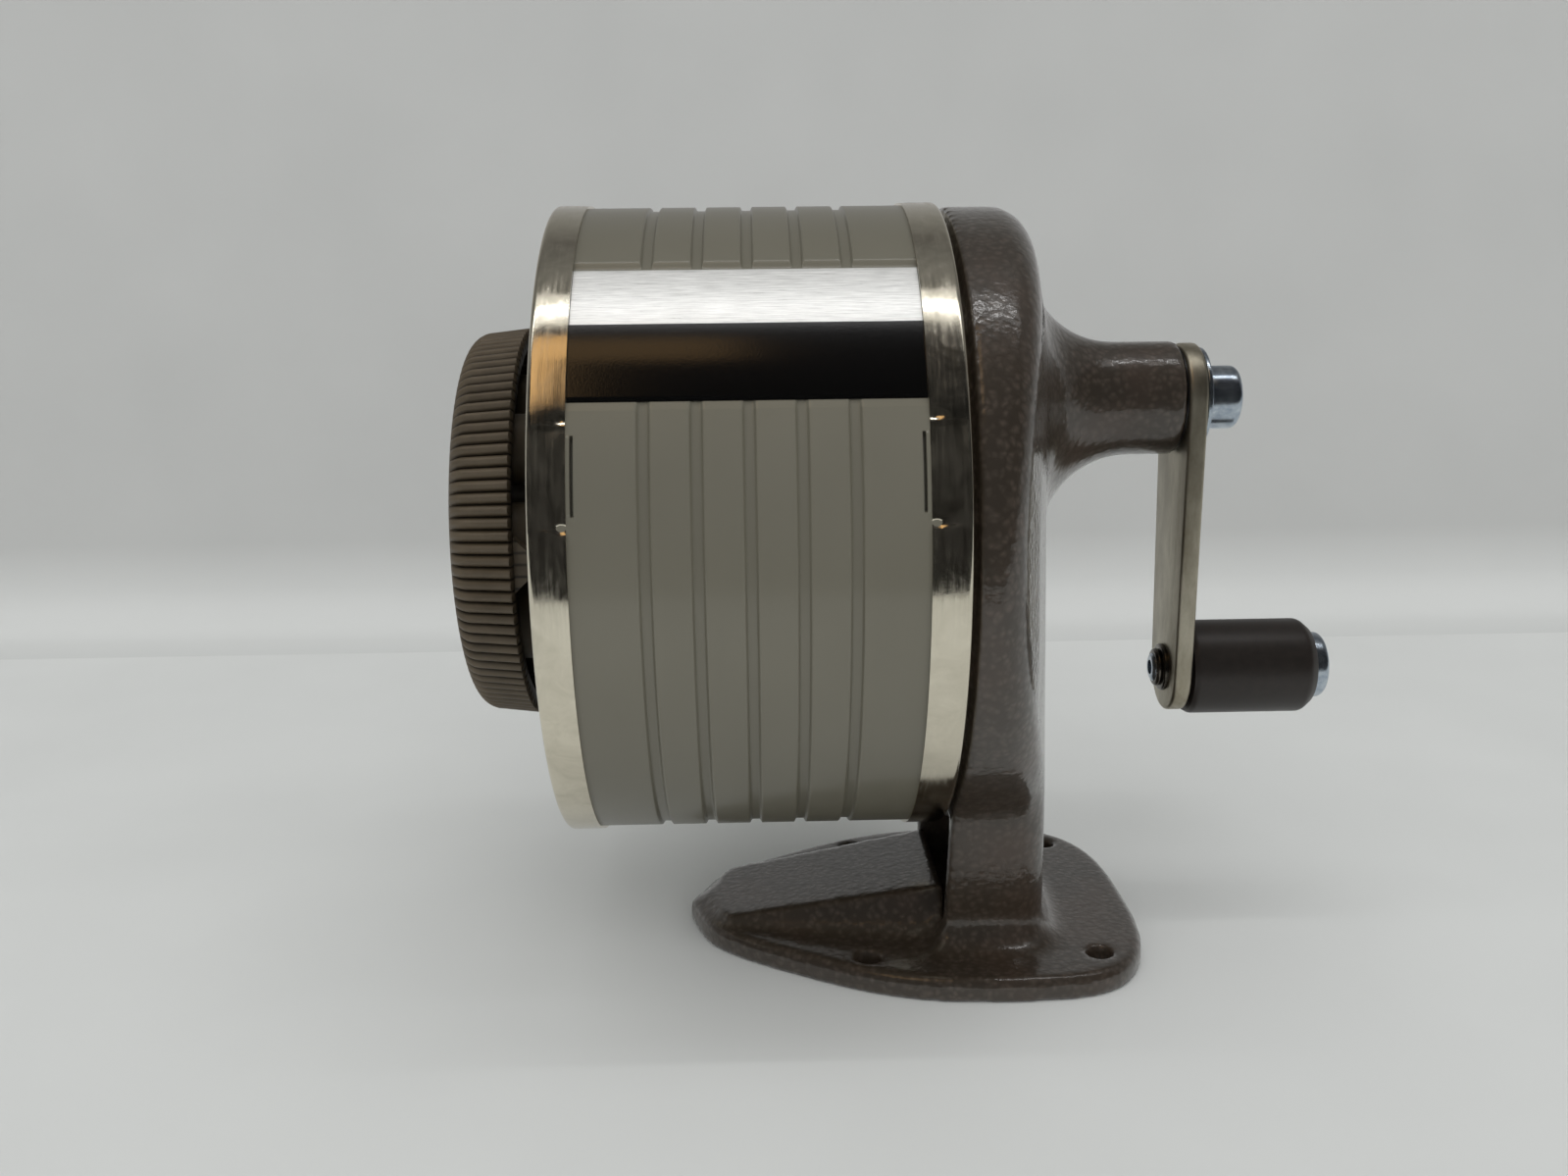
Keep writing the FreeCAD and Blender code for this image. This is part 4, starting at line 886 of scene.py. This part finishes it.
def build_light():
    """A soft strip and a bright tube overhead, a lamp above the camera, and an even pale room.

    Shiny surfaces see a room that is dark in front and grey behind.
    """
    world = bpy.data.worlds.new("studio")
    bpy.context.scene.world = world
    world.use_nodes = True
    tree = world.node_tree
    tree.nodes.clear()
    along, angle = around_x(tree, add(tree, "ShaderNodeTexCoord").outputs["Generated"], 0.0)
    share = add(tree, "ShaderNodeMath", {0: angle, 1: math.pi}, operation="DIVIDE")
    soft = add(tree, "ShaderNodeValToRGB", {"Fac": share.outputs[0]},
               [(0.0, "dcdcdb"), (0.17, "eeeeed"), (0.33, "bfbfbe"), (0.5, "979796"),
                (0.75, "8b8b8a"), (1.0, "8b8b8a")])
    mirrored = add(tree, "ShaderNodeValToRGB", {"Fac": share.outputs[0]},
                   [(0.0, "101010"), (0.30, "121212"), (0.39, "2a2929"), (0.44, "4a4949"),
                    (0.58, "616160"), (0.64, "555554"), (0.69, "504f4e"), (0.76, "666664"),
                    (0.86, "797978"), (0.93, "888887"), (1.0, "989897")])
    path = add(tree, "ShaderNodeLightPath")
    seen = add(tree, "ShaderNodeMix", {
        "Factor": path.outputs["Is Glossy Ray"], "A": soft.outputs["Color"],
        "B": mirrored.outputs["Color"]}, data_type="RGBA")
    shown = add(tree, "ShaderNodeMix", {
        "Factor": path.outputs["Is Camera Ray"], "A": seen.outputs["Result"],
        "B": colour("909190")}, data_type="RGBA")
    sky = add(tree, "ShaderNodeBackground", {"Color": shown.outputs["Result"], "Strength": 1.6})
    output = add(tree, "ShaderNodeOutputWorld")
    tree.links.new(sky.outputs[0], output.inputs["Surface"])
    for name, place, aim, size, power in (
            ("overhead_strip", (-0.10, -0.08, 0.85), (-0.10, -0.03, 0.0), (1.4, 0.19), 0.72),
            ("overhead_tube", (-0.05, -0.08, 0.84), (-0.05, -0.03, 0.0), (0.9, 0.016), 0.62),
            ("front_lamp", (0.10, -0.90, 0.85), (0.0, 0.0, 0.06), (0.5, 0.4), 1.7)):
        lamp = bpy.data.lights.new(name, "AREA")
        lamp.shape = "RECTANGLE"
        lamp.size, lamp.size_y = size
        lamp.energy = power
        holder = bpy.data.objects.new(name, lamp)
        holder.location = place
        toward = Vector(aim) - Vector(place)
        holder.rotation_euler = toward.to_track_quat("-Z", "Y").to_euler()
        holder.visible_glossy = name != "front_lamp"
        bpy.context.scene.collection.objects.link(holder)


def build_camera():
    """Level with the drum's upper half, a little to the left, looking slightly down."""
    yaw, pitch, roll = 0.022, -0.208, 0.012
    ahead = Vector((math.sin(yaw) * math.cos(pitch), math.cos(yaw) * math.cos(pitch),
                    math.sin(pitch)))
    level = Vector((math.cos(yaw), -math.sin(yaw), 0))
    down = ahead.cross(level)
    right = math.cos(roll) * level + math.sin(roll) * down
    below = -math.sin(roll) * level + math.cos(roll) * down
    data = bpy.data.cameras.new("camera")
    data.sensor_width = 36.0
    data.lens = 32.76
    data.clip_start = 0.01
    camera = bpy.data.objects.new("camera", data)
    basis = Matrix((right, -below, -ahead)).transposed()
    camera.matrix_world = Matrix.Translation((-0.03803, -0.24657, 0.11486)) @ basis.to_4x4()
    bpy.context.scene.collection.objects.link(camera)
    bpy.context.scene.camera = camera


build_stage()
build_cards()
build_light()
build_camera()
bpy.context.scene.view_settings.view_transform = "Standard"
